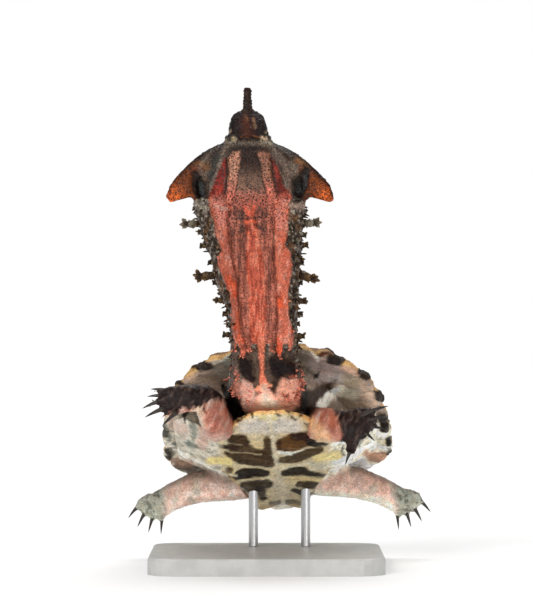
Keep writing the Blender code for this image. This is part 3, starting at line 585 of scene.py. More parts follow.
PANEL = {
    # edges of the throat panel's stripes: height, x
    "outer_right": (
        (148.6, -23.2), (145.9, -22), (137.6, -20.4), (132.8, -18.8), (131.2, -18), (127.3, -19.6),
        (124.9, -19.6), (118.2, -17.2), (113.1, -14.9), (107.1, -14.1), (99.2, -14.1), (93.3, -12.9),
        (86, -12.6),
    ),
    "inner_right": (
        (152.6, -12.9), (147.9, -14.5), (142.7, -15.8), (136.8, -15), (130.9, -14.5), (124.9, -13.3),
        (119, -11.7), (109.1, -11.3), (101.2, -10.5), (93.3, -8.9), (86, -7.4),
    ),
    "middle_right": (
        (144, -8.4), (136.8, -8.1), (124.9, -8.3), (113.1, -7.3), (101.2, -7.3), (93.3, -5.8),
        (89, -4.4), (86.6, -2.9), (81.5, -2.6), (77, -3.6),
    ),
    "middle_left": (
        (144, -4.6), (140.7, -3.8), (132.8, -2.6), (124.9, -1), (117, -0.4), (105.2, -0.2),
        (93.3, -0.6), (89, -0.2), (86.6, -0.7), (81.5, -0.8), (77, 1.2),
    ),
    "inner_left": (
        (152.6, 2.4), (142.7, 2.9), (128.9, 2.9), (119, 3.7), (113.1, 3.7), (105.2, 4.5),
        (93.3, 3.7), (86, 3.2),
    ),
    "outer_left": (
        (150, 9.4), (145.5, 8.9), (134.8, 8.1), (132.8, 7.7), (128.9, 9.7), (124.1, 10.5), (119, 9.5),
        (111.1, 8.5), (105.2, 8.9), (99.2, 10.5), (95.3, 10.8), (90.6, 10), (86, 10),
    ),
}
TUBERCLES = (
    # how many, from x to x, from height to height
    (24, 5.5, 14.0, 69.0, 78.6), (14, -11.4, -5.4, 68.0, 78.0), (12, 11.4, 15.0, 78.6, 87.0),
    (8, -13.6, -11.0, 79.0, 86.0), (5, -4.0, 3.0, 73.0, 77.0),
)
LOBES = (
    # x, height of each lobe's tip at the lower end of the side bands
    (-12.9, 90.0), (-9.3, 87.0), (-7.0, 89.4), (2.2, 89.4), (5.2, 87.2), (9.8, 90.4),
)


def lobe_floor(x):
    """Height at which the side bands end: lower at each lobe's tip."""
    floor = np.full(len(x), 93.2)
    for at, tip in LOBES:
        floor = np.minimum(floor, tip + 2.6 * np.abs(x - at) ** 1.3)
    return floor


def panel_edges(z):
    return {name: table(pairs, z) for name, pairs in PANEL.items()}


def bulge(value, low, high):
    """A rounded rise across a band, 0 at its edges."""
    t = np.clip((value - low) / np.maximum(high - low, 0.1), 0, 1)
    return np.sqrt(np.clip(1 - (2 * t - 1) ** 2, 0, 1))


RAMUS_EDGES = {
    "outer_right": ((171, -13.4), (167.4, -15.7), (161.9, -15.5), (155.9, -16), (151.3, -16.9)),
    "inner_right": ((171, -10.2), (164.6, -10.5), (157.3, -11.6), (151.3, -13.2), (145.8, -15)),
    "inner_left": ((171, -4.1), (163.7, -2.2), (157.3, -1.3), (151.3, 0.6), (145.8, 2.2)),
    "outer_left": ((171, -0.6), (169.2, 1.5), (161.9, 2.2), (155.9, 3.3), (150.4, 5.2)),
}


def front_of(normals):
    """How far each place faces forward, from 0 to 1."""
    return step(0.05, 0.45, -normals[:, 1])


def skin_shape(places, normals, zones):
    """How far each place of the skin stands out, in millimetres."""
    x, z = plan(places)
    facing = front_of(normals)
    head = zones["head"]
    neck = zones["neck"]
    edges = panel_edges(z)
    panel_zone = neck * facing * (1 - step(146, 151, z))
    low_end = lobe_floor(x)
    side_right = between(x, edges["outer_right"], edges["inner_right"], 0.3)
    side_left = between(x, edges["inner_left"], edges["outer_left"], 0.3)
    sides = (side_right + side_left) * step(-0.5, 0.4, z - low_end)
    rise = 0.9 * bulge(x, edges["outer_right"], edges["inner_right"]) * side_right
    rise = rise + 0.9 * bulge(x, edges["inner_left"], edges["outer_left"]) * side_left
    rise = rise * step(-0.5, 0.4, z - low_end)
    middle = between(x, edges["middle_right"], edges["middle_left"], 0.25) * step(75, 78, z)
    rise = rise + middle * (0.5 * bulge(x, edges["middle_right"], edges["middle_left"]))
    ridge = middle * (1 - step(86, 90, z)) * step(76, 78, z)
    rise = rise + ridge * 1.4
    for name in ("inner_right", "inner_left"):
        rise = rise - 0.7 * hump(x - edges[name], 0.45) * step(88, 92, z)
    for name in ("middle_right", "middle_left"):
        rise = rise - 0.25 * hump(x - edges[name], 0.4) * step(92, 100, z)
    out = rise * panel_zone
    # deep folds below the panel's lobes
    fold = stroke(x, z, ((-8.4, 86.5, 2.2), (-7.4, 81.5, 2.8)), 1.4)
    fold = np.maximum(fold, stroke(x, z, ((4.0, 86.0, 2.2), (8.6, 82.0, 3.4)), 1.4))
    out -= 1.8 * fold * (1 - sides) * neck * facing
    # long wrinkles of the throat
    wrinkle = clouds(places * (1, 1, 0.16), 1.1, 3, 2)
    out += 0.16 * wrinkle * panel_zone
    # granular sides and back of the neck
    rough = neck * (1 - panel_zone * between(x, edges["outer_right"], edges["outer_left"], 0.8))
    first, _, tag = cells(places, 2.1, 11)
    out += rough * 0.75 * (1 - step(0.1, 0.55, first)) * step(0.25, 0.7, tag)
    out += rough * 0.28 * clouds(places, 1.2, 5)
    # pimples on the skin at the neck's foot
    foot = neck * facing * (1 - step(76, 80, z)) * (1 - stroke(x, z, ((0.6, 76, 1.6), (0.8, 67, 6)), 1))
    first, _, tag = cells(places, 2.0, 21)
    out += foot * 0.9 * (1 - step(0.1, 0.5, first)) * step(0.35, 0.7, tag)
    # the neck's foot spreads over the shell's edge
    out += 2.4 * neck * bulge(z, 66, 83) * step(0.25, 0.8, np.abs(normals[:, 0]))
    # head: mouth line, lip, jaw ridges and the dark gutters beside them
    arch = 175.3 - 0.012 * (x + 7.4) ** 2
    mouth = hump(z - arch, 0.55) * (1 - step(9.5, 12, np.abs(x + 7.3)))
    out -= 0.8 * mouth * head * facing
    lip_line = 173.3 - 0.02 * (x + 7.3) ** 2
    out += 0.5 * hump(z - lip_line, 1.3) * head * facing
    for name in ("outer_right", "outer_left"):
        gutter = table(RAMUS_EDGES[name], z)
        out -= 0.7 * hump(x - gutter, 0.6) * between(z, 151, 169, 1.5) * head * facing
    out += 0.1 * clouds(places, 0.9, 8) * head
    first, _, tag = cells(places, 1.7, 31)
    warts = (1 - step(0.1, 0.5, first)) * step(0.5, 0.8, tag)
    out += 0.35 * warts * head * (1 - facing)
    out += 0.8 * head * step(176.5, 179.5, z) * (1 - step(186.0, 188.5, z))
    for _, _, _, *path in EAR_SHADE_AND_HIGHLIGHT[:2]:
        out -= 1.1 * stroke(x, z, path, 1.4) * head * facing
    # rings of the snout tube
    tube = zones["snorkel"]
    out += 0.16 * np.sin(places[:, 2] * (2 * math.pi / 1.25)) * tube
    out += 0.12 * clouds(places, 0.8, 9) * tube
    # limbs: scales and creases across
    limb = zones["arm"] + zones["leg"]
    first, second, tag = cells(places, 1.9, 41)
    scale = (0.12 * zones["leg"] + 0.2) * (step(0.0, 0.35, second - first) - 0.6)
    out += scale * limb
    out += 0.14 * clouds(places, 2.4, 12) * limb
    out += 0.2 * clouds(places, (5, 5, 2.2), 14) * zones["torso"]
    return out


SLANT = np.array(Matrix.Rotation(math.radians(24), 3, "Y"))
FOOT_MARKS = (
    # tone, strength, softness, then the path's x, z and half widths
    ((0.82, 0.63, 0.56), 0.9, 0.9, (-8.2, 76.6, 2.4), (-6.6, 69, 3.2)),
    ((0.86, 0.62, 0.53), 0.9, 0.9, (9.0, 77, 4.0), (7.4, 69.5, 4.4)),
    ((0.5, 0.45, 0.4), 0.7, 0.8, (-11.2, 84, 1.2), (-10.8, 78, 1.2)),
    ((0.66, 0.42, 0.37), 0.7, 0.7, (-12.4, 83.4, 0.6), (-11.4, 80.6, 0.8)),
    # painted shade: near black in the two deep folds below the panel's lobes
    ((0.13, 0.09, 0.075), 0.95, 0.9, (-9.6, 87.4, 1.6), (-8.6, 83.0, 2.8), (-6.0, 79.6, 2.2)),
    ((0.13, 0.09, 0.075), 0.95, 0.9, (2.2, 86.6, 1.4), (4.8, 82.8, 3.4), (9.4, 81.8, 3.2)),
    ((0.33, 0.28, 0.24), 0.7, 0.6, (-4.8, 86.4, 0.8), (-4.6, 81, 1.0)),
    ((0.68, 0.44, 0.38), 0.85, 1.2, (-12.0, 77.5, 1.2), (-12.8, 70, 1.8)),
    ((0.7, 0.45, 0.39), 0.85, 1.2, (13.0, 77.5, 1.2), (13.8, 70, 1.8)),
)
FLANK_MARKS = (
    ((0.21, 0.21, 0.2), 0.85, 1.2, (-19.4, 168.0, 1.2), (-22.0, 163.6, 1.6), (-22.6, 158, 1.0)),
    ((0.43, 0.36, 0.32), 0.8, 1.2, (4.6, 169.0, 1.0), (8.4, 163, 1.8), (9.8, 157, 1.8)),
    ((0.21, 0.17, 0.15), 0.7, 1.2, (8.6, 169.6, 1.2), (12.0, 167.4, 1.2)),
    ((0.44, 0.37, 0.32), 0.7, 1.4, (-25.4, 160.6, 1.4), (-23.6, 154, 1.4)),
    ((0.54, 0.35, 0.2), 0.5, 1.4, (-29.0, 165.6, 1.2), (-24.2, 163.8, 1.6)),
    ((0.64, 0.42, 0.23), 0.65, 1.4, (12.8, 166.6, 1.4), (16.6, 165.6, 1.6)),
    ((0.3, 0.17, 0.12), 0.7, 1.6, (-33, 157.6, 1.4), (-30, 161, 1.2)),
    ((0.55, 0.27, 0.22), 0.7, 1.0, (-21.6, 153.6, 1.0), (-22.4, 151, 1.0)),
    ((0.6, 0.28, 0.22), 0.7, 1.0, (8.8, 154.0, 1.0), (8.6, 151, 1.2)),
)
RED_MARKS = {
    "right": (
        (
            (0.5, 0.16, 0.13), 0.95, 0.6, (-16.4, 167.4, 0.4), (-17.6, 161.6, 1.5),
            (-19.0, 156, 2.2), (-20.0, 152.4, 2.6),
        ),
        ((0.68, 0.27, 0.22), 0.7, 0.9, (-18.8, 158, 0.9), (-19.4, 154, 1.3)),
        ((0.72, 0.4, 0.34), 0.8, 0.8, (-21.4, 151.2, 1.4), (-16, 150.4, 1.4)),
    ),
    "left": (
        ((0.42, 0.16, 0.13), 0.95, 0.6, (1.9, 167.4, 0.4), (3.6, 163, 1.3), (4.8, 157, 1.4), (6.4, 153.6, 2.0)),
        ((0.58, 0.24, 0.19), 0.7, 0.8, (3.2, 164, 0.6), (4.2, 160, 0.8)),
        ((0.74, 0.36, 0.3), 0.8, 0.8, (5.4, 151.4, 1.6), (8.4, 151.6, 1.6)),
    ),
}
CREAM_MARKS = (
    ((0.72, 0.66, 0.56), 0.7, 0.8, (-16.4, 174.2, 0.8), (-13.2, 174.8, 1.1)),
    ((0.8, 0.7, 0.56), 0.9, 0.7, (-13.8, 175.7, 0.4), (-12.8, 174.9, 0.5)),
    ((0.72, 0.66, 0.56), 0.7, 0.8, (-1.6, 174.4, 0.9), (2.0, 173.8, 0.8)),
    ((0.86, 0.75, 0.64), 0.9, 0.7, (-2.0, 175.6, 0.4), (-0.2, 175.2, 0.7)),
    ((0.82, 0.72, 0.56), 0.9, 0.4, (-0.2, 177.6, 0.4), (0.6, 178.2, 0.4)),
    ((0.8, 0.7, 0.55), 0.8, 0.4, (-15.0, 177.4, 0.3), (-14.4, 178.2, 0.3)),
    ((0.08, 0.07, 0.06), 0.95, 0.35, (-15.4, 176.4, 0.9), (-15.0, 174.9, 0.9)),
    ((0.08, 0.07, 0.06), 0.95, 0.35, (0.6, 176.8, 0.8), (1.2, 175.4, 0.9)),
)
# painted shade in the hollows at the flaps' base, with a painted highlight in each and their darkest shade last
EAR_SHADE_AND_HIGHLIGHT = (
    (
        (0.14, 0.125, 0.115), 0.95, 0.8, (-28.4, 160.8, 1.5), (-27.0, 156, 3.1), (-25.4, 150.8, 2.1),
        (-24.8, 148.8, 0.9),
    ),
    ((0.14, 0.125, 0.115), 0.95, 0.8, (15.8, 162.6, 1.6), (14.0, 157.4, 3.2), (12.4, 152.0, 2.0)),
    # painted highlights of bluish grey in the hollows
    ((0.24, 0.27, 0.28), 0.7, 0.8, (-26.6, 157, 0.7), (-25.4, 152.4, 0.6)),
    ((0.24, 0.27, 0.28), 0.7, 0.8, (16.0, 160.4, 0.7), (14.6, 154, 0.6)),
    # the hollows' darkest painted shade
    ((0.04, 0.04, 0.04), 0.8, 0.7, (-28.2, 157.6, 0.8), (-26.8, 152.6, 0.8)),
    ((0.04, 0.04, 0.04), 0.8, 0.7, (13.4, 157.6, 0.9), (12.8, 153, 0.8)),
)
HEART_MARKS = (
    (
        (0.66, 0.35, 0.29), 0.7, 0.9, (-13.4, 149.5, 0.8), (-10, 148.6, 1.4), (-3.4, 148.6, 1.4),
        (0.6, 149.2, 0.8),
    ),
    ((0.36, 0.21, 0.17), 0.7, 0.9, (-12.0, 146.2, 1.6), (-10.4, 145.0, 1.8)),
    ((0.36, 0.21, 0.17), 0.7, 0.9, (-2.4, 146.0, 1.6), (-0.6, 145.4, 1.6)),
    (
        (0.84, 0.38, 0.28), 0.9, 0.4, (-8.9, 147.6, 0.5), (-7.4, 145.4, 0.9), (-6.2, 144.8, 1.0),
        (-4.8, 147.8, 0.6),
    ),
    ((0.88, 0.4, 0.28), 0.9, 0.4, (-8.4, 141.8, 0.5), (-6.4, 142.2, 0.6), (-4.2, 141.8, 0.4)),
    ((0.12, 0.06, 0.05), 0.8, 0.25, (-12.6, 143.2, 0.2), (-7.0, 142.9, 0.25), (-1.4, 143.8, 0.2)),
    ((0.24, 0.17, 0.14), 0.8, 0.7, (-10.4, 139.4, 1.0), (-10.0, 138.0, 0.9)),
    ((0.24, 0.17, 0.14), 0.8, 0.7, (-3.2, 140.2, 1.0), (-2.2, 139.0, 0.9)),
    ((0.8, 0.5, 0.44), 0.6, 0.9, (-20.5, 149.6, 1.4), (-18.4, 146, 2.4), (-17.6, 140, 1.6)),
    ((0.8, 0.5, 0.44), 0.6, 0.9, (6.8, 150.2, 1.2), (5.6, 146, 2.2), (5.6, 140, 1.6)),
    ((0.8, 0.68, 0.62), 0.5, 0.5, (-20.6, 148.2, 0.5), (-15.4, 147.0, 0.5)),
)
# pale rags where the neck leaves the head
RAG_MARKS = (
    ((0.6, 0.56, 0.51), 0.65, 1.4, (-28.6, 150.0, 1.0), (-25.0, 146.8, 1.4)),
    ((0.72, 0.6, 0.54), 0.65, 1.4, (9.4, 148.6, 1.0), (14.8, 147.8, 1.2)),
)
RIDGE_MARKS = (
    ((0.84, 0.46, 0.35), 0.9, 0.5, (-2.2, 93, 1.5), (-1.9, 86, 0.9), (-1.7, 81, 0.8), (-1.2, 77, 1.7)),
    ((0.9, 0.58, 0.46), 0.9, 0.4, (-4.0, 74.6, 0.6), (-1.2, 76.8, 1.0), (1.8, 76.4, 0.6)),
    ((1.0, 0.7, 0.61), 0.95, 0.7, (-0.8, 75.8, 1.4), (-0.2, 71, 3.4), (0.6, 66.6, 6.8)),
    ((1.0, 0.8, 0.73), 0.85, 1.4, (-0.4, 71.4, 1.4), (0.8, 68.4, 3.2)),
    ((0.9, 0.5, 0.38), 0.7, 0.4, (-6.8, 66.2, 0.5), (-1, 67.0, 0.5), (5.6, 66.4, 0.4)),
)
# painted shade: black in the hollows between the neck and the arms, on whatever shows there
HOLLOW_SHADE_MARKS = (
    (
        (0.24, 0.19, 0.165), 0.95, 1.0, (27.4, 77.8, 0.8), (23.0, 75.2, 2.0), (18.4, 71.0, 3.6),
        (16.2, 66.4, 2.8),
    ),
    ((0.09, 0.07, 0.06), 0.95, 1.0, (15.6, 77.0, 0.9), (15.2, 71.0, 1.7), (15.8, 66.2, 1.6)),
    ((0.045, 0.03, 0.025), 0.98, 0.8, (-17.0, 75.8, 1.4), (-13.6, 70.0, 3.0), (-11.6, 64.4, 3.0)),
)
ARM_MARKS = (
    ((0.86, 0.74, 0.68), 0.75, 2.2, (-27, 55.4, 2.4), (-17, 54.6, 2.6)),
    ((0.89, 0.8, 0.7), 0.8, 1.6, (-27.5, 66.5, 2.0), (-27.6, 60, 2.6)),
    ((0.25, 0.2, 0.17), 0.8, 0.5, (-25.0, 67.0, 0.4), (-24.2, 65.6, 0.5)),
    ((0.7, 0.42, 0.36), 0.6, 1.4, (-20.6, 68, 1.4), (-21.6, 58, 2.2)),
    ((1.0, 0.78, 0.58), 0.85, 2.0, (18.0, 62, 1.8), (22.4, 55, 3.0)),
    ((0.94, 0.84, 0.72), 0.8, 1.8, (24.0, 53.0, 1.8), (29.4, 51.6, 1.8)),
    ((0.72, 0.42, 0.32), 0.7, 0.7, (25.6, 66, 1.0), (26.4, 61, 1.4)),
)
# what shows beside the neck's foot, on the torso and under the shell alike
UNDER_MARKS = (
    ((0.53, 0.5, 0.45), 0.8, 2.0, (-20, 85, 3.0), (-14.5, 81, 3.5)),
    ((0.64, 0.65, 0.6), 0.85, 1.2, (-20.5, 89.5, 1.6), (-15.5, 87, 2.2)),
    ((0.4, 0.34, 0.29), 0.7, 1.4, (-24, 79.4, 1.0), (-16, 77.8, 1.6)),
    ((0.74, 0.58, 0.42), 0.7, 1.2, (-35, 79.5, 1.5), (-30, 81.5, 1.2)),
    ((0.4, 0.37, 0.33), 0.8, 1.4, (13, 93, 2.0), (15.5, 86, 3.0), (16, 81, 2.0)),
    ((0.56, 0.5, 0.485), 0.9, 1.8, (18.5, 85.6, 2.2), (29.5, 81, 2.8)),
    ((0.7, 0.66, 0.64), 0.8, 1.4, (20.5, 79.6, 1.4), (29.5, 79.0, 1.6)),
    ((0.7, 0.56, 0.47), 0.85, 1.6, (31.5, 84.6, 1.5), (37.0, 81.5, 2.0)),
    ((0.61, 0.57, 0.48), 0.7, 1.4, (31.8, 78.8, 1.8), (35, 77.6, 1.8)),
    ((0.79, 0.69, 0.61), 0.85, 1.8, (39, 74.2, 2.4), (43, 69.5, 2.4)),
    ((0.71, 0.7, 0.63), 0.8, 1.6, (30.4, 73.8, 2.0), (34.5, 72.6, 2.4)),
    ((0.78, 0.76, 0.71), 0.85, 0.5, (15.4, 94.6, 0.6), (18.0, 90.6, 0.7), (20.6, 86.4, 0.5)),
    ((0.9, 0.88, 0.84), 0.85, 1.0, (26.0, 72.8, 1.6), (29.0, 74.8, 1.0)),
    ((0.12, 0.1, 0.09), 0.95, 0.5, (19.2, 79.8, 1.0), (20.8, 81.0, 0.9)),
    ((0.45, 0.38, 0.33), 0.9, 0.8, (19.4, 64.8, 1.2), (23.0, 64.6, 1.0)),
)
STREAK_MARKS = (
    ((0.92, 0.87, 0.8), 0.9, 1.2, (29.4, 74.6, 1.8), (25.6, 71.6, 1.8)),
    ((1.0, 0.98, 0.93), 0.98, 0.6, (28.2, 75.2, 1.0), (24.4, 71.2, 1.9), (20.8, 67.2, 1.6), (19.0, 65.0, 0.9)),
)
# the pale sides, on the rim's underside and the bridges alike
SIDE_MARKS = (
    ((0.83, 0.7, 0.64), 0.7, 2.0, (-38, 62, 2.0), (-33.5, 58.6, 2.6)),
    ((0.2, 0.19, 0.16), 0.95, 0.5, (-32.0, 65.4, 0.9), (-33.2, 61.8, 0.6)),
    ((0.47, 0.48, 0.43), 0.85, 0.8, (-30.2, 61.6, 0.7), (-28.8, 58.6, 1.3), (-28.8, 55.6, 1.0)),
    ((0.38, 0.42, 0.38), 0.9, 0.8, (-31.8, 53.4, 0.9), (-28.0, 52.2, 1.2)),
    ((0.44, 0.45, 0.41), 0.85, 0.8, (-40.8, 60.4, 0.9), (-39.0, 55.4, 1.1)),
    ((0.34, 0.35, 0.31), 0.85, 0.8, (-36.8, 53.0, 0.8), (-38.4, 48.4, 1.1)),
    ((0.62, 0.6, 0.53), 0.6, 1.2, (-35.0, 56.4, 0.9), (-34.6, 50.6, 1.4)),
    ((0.8, 0.62, 0.55), 0.7, 1.4, (-24.6, 60.0, 2.4), (-25.4, 53.0, 2.0)),
    ((0.16, 0.13, 0.11), 0.95, 0.6, (45.4, 65.0, 1.6), (47.4, 61.4, 1.4), (46.0, 58.4, 0.8)),
    ((0.15, 0.13, 0.12), 0.95, 0.5, (48.6, 55.8, 0.9), (48.8, 53.6, 0.8)),
    ((0.3, 0.31, 0.28), 0.8, 0.8, (38.6, 55.4, 0.7), (36.0, 52.4, 1.0)),
    ((0.55, 0.56, 0.5), 0.7, 1.2, (41.4, 59.4, 1.0), (43.8, 55.0, 1.2)),
    ((0.52, 0.52, 0.46), 0.7, 1.2, (32.4, 50.6, 1.0), (29.8, 47.6, 1.2)),
    ((0.14, 0.12, 0.1), 0.9, 0.4, (30.6, 52.4, 0.5), (30.2, 49.6, 0.7), (31.2, 47.4, 0.4)),
    ((0.93, 0.92, 0.88), 0.8, 0.5, (-39, 52.7, 0.5), (-32.7, 48.4, 0.7), (-17.7, 41.2, 0.6)),
    ((0.93, 0.92, 0.88), 0.8, 0.5, (29.2, 45.9, 0.6), (36, 49.6, 0.7), (42.9, 54.0, 0.4)),
    ((0.56, 0.4, 0.31), 0.9, 1.3, (40.0, 49.0, 1.6), (47.0, 47.6, 2.2)),
    ((0.4, 0.26, 0.19), 0.8, 1.0, (41.0, 46.6, 1.0), (47.0, 45.2, 1.0)),
    ((0.66, 0.52, 0.44), 0.9, 1.3, (-38.4, 46.0, 1.8), (-31, 45.0, 1.8)),
    ((0.34, 0.25, 0.2), 0.8, 1.0, (-36.0, 43.6, 1.0), (-29, 42.4, 1.2)),
    ((0.38, 0.27, 0.22), 0.8, 1.2, (-28, 43.6, 1.0), (-21, 41.0, 1.2)),
)


def underside(places):
    """What shows below the shell's edge: dusky in front, pale and blotched at the sides."""
    x, z = plan(places)
    x = x + 0.8 * clouds(places, 2.4, 141, 3)
    z = z + 0.8 * clouds(places, 2.4, 142, 3)
    soft = clouds(places, 5.0, 143, 3)
    fine = clouds(places, 1.5, 144, 3)
    dusk = lay(
        (0.55, 0.48, 0.43), ((0.66, 0.57, 0.49), step(0.0, 0.6, soft)),
        ((0.34, 0.29, 0.25), 0.5 * step(0.2, 0.7, fine)),
    )
    # the hollows' painted shade goes on the underside too
    dusk = np.minimum(dress(dress(dusk, x, z, UNDER_MARKS), x, z, HOLLOW_SHADE_MARKS) * 1.15, 0.95)
    dusk = dress(dusk, x, z, STREAK_MARKS)
    pale = lay(
        (0.88, 0.85, 0.78), ((0.72, 0.69, 0.61), step(0.0, 0.7, soft)),
        ((0.45, 0.46, 0.41), 0.7 * step(0.35, 0.7, fine)),
    )
    pale = dress(pale, x, z, SIDE_MARKS)
    pale = np.minimum(pale * (0.82 + 0.55 * step(-10, 40, x))[:, None], 0.96)
    high = np.where(x < 0, 67.5, np.where(x > 30, 65.0 - 0.1 * (x - 40), 57.0))
    return blend(dusk, pale, 1 - step(-1.5, 1.5, z - high))


def neck_paint(places, x, z, facing, wave, fine, soft):
    """Dark granular sides and the warm throat panel. Also where the panel is, and its dots."""
    streak = clouds(places * (1, 1, 0.12), 0.8, 91, 2)
    edges = panel_edges(z)
    neck = lay(
        (0.27, 0.22, 0.185), ((0.6, 0.56, 0.51), 0.75 * step(0.1, 0.6, fine)),
        ((0.1, 0.08, 0.07), 0.8 * step(0.1, 0.6, -fine)),
        ((0.42, 0.28, 0.16), 0.6 * step(0.15, 0.6, clouds(places, 3.0, 96, 3))),
        ((0.72, 0.69, 0.64), 0.6 * step(0.2, 0.7, clouds(places, 2.2, 98, 3)) * step(136, 146, z)),
    )
    inside = between(x, edges["outer_right"], edges["outer_left"], 0.35)
    inside = inside * facing * step(-0.3, 0.3, z - np.minimum(lobe_floor(x), 93))
    throat = lay(
        (0.56, 0.31, 0.25), ((0.74, 0.44, 0.36), 0.6 * step(0.0, 0.6, streak)),
        ((0.27, 0.15, 0.12), 0.65 * step(0.05, 0.7, -streak)),
    )
    throat = throat * np.where(x < -3, 1.0, 1.25)[:, None]
    band_right = between(x, edges["outer_right"], edges["inner_right"], 0.6)
    band_left = between(x, edges["inner_left"], edges["outer_left"], 0.6)
    bands = np.clip(band_right + band_left, 0, 1)
    coral = lay(
        (0.78, 0.42, 0.33), ((0.85, 0.36, 0.23), step(0.0, 0.6, soft)),
        ((0.85, 0.6, 0.52), 0.6 * step(0.1, 0.7, clouds(places, (1.8, 1.8, 5.0), 99, 3))),
    )
    coral = coral * np.where(x < -10, 0.72, 1.0)[:, None]
    coral = blend(coral, srgb(0.42, 0.23, 0.19), 0.6 * step(0.25, 0.75, clouds(places, (1.1, 1.1, 4.0), 97, 3)))
    throat = blend(throat, coral, bands)
    centre = between(x, edges["middle_right"], edges["middle_left"], 0.9)
    bright = lay(
        (0.74, 0.34, 0.25), ((0.86, 0.5, 0.4), step(-0.1, 0.6, streak)),
        ((0.5, 0.22, 0.17), 0.7 * step(0.2, 0.7, -streak)),
    )
    throat = blend(throat, bright, centre * (1 - step(140, 144, z)))
    for name in ("inner_right", "inner_left", "middle_right", "middle_left"):
        line = hump(x - edges[name], 0.38)
        firm = 0.7 if name.startswith("inner") else 0.3
        throat = blend(throat, srgb(0.2, 0.11, 0.09), firm * line * (1 - step(142, 148, z)))
    neck = blend(neck, throat, inside)
    stipple = inside * (0.7 - 0.35 * bands - 0.3 * centre + 0.5 * step(132, 146, z) * (1 - centre * 0.4))
    # the neck's foot: grey skin, painted shade in its folds, pink pleats, the pale ridge and triangle
    foot = facing * (1 - step(88, 92, z)) * (1 - inside)
    grey = lay((0.36, 0.29, 0.25), ((0.22, 0.17, 0.145), step(-0.2, 0.6, soft)))
    neck = blend(neck, grey, foot)
    neck = dress(neck, x, z, FOOT_MARKS, facing * (1 - inside * step(86, 88, z)))
    pleat = stroke(x, z, ((-9.6, 77, 1.5), (-8.6, 68, 4.0), (8.0, 68, 4.4), (10.6, 78, 3.0)), 1.2)
    neck = lay(
        neck, ((0.86, 0.46, 0.37), 0.35 * pleat * facing * step(0.1, 0.8, wave[:, 1])),
        ((0.5, 0.36, 0.31), 0.4 * pleat * facing * step(0.1, 0.8, -wave[:, 0])),
    )
    # painted shade in the hollows beside the neck's foot
    neck = dress(neck, x, z, HOLLOW_SHADE_MARKS)
    neck = dress(neck, x, z, RIDGE_MARKS, facing)
    neck = dress(neck, x, z, RAG_MARKS)
    return neck, inside, stipple


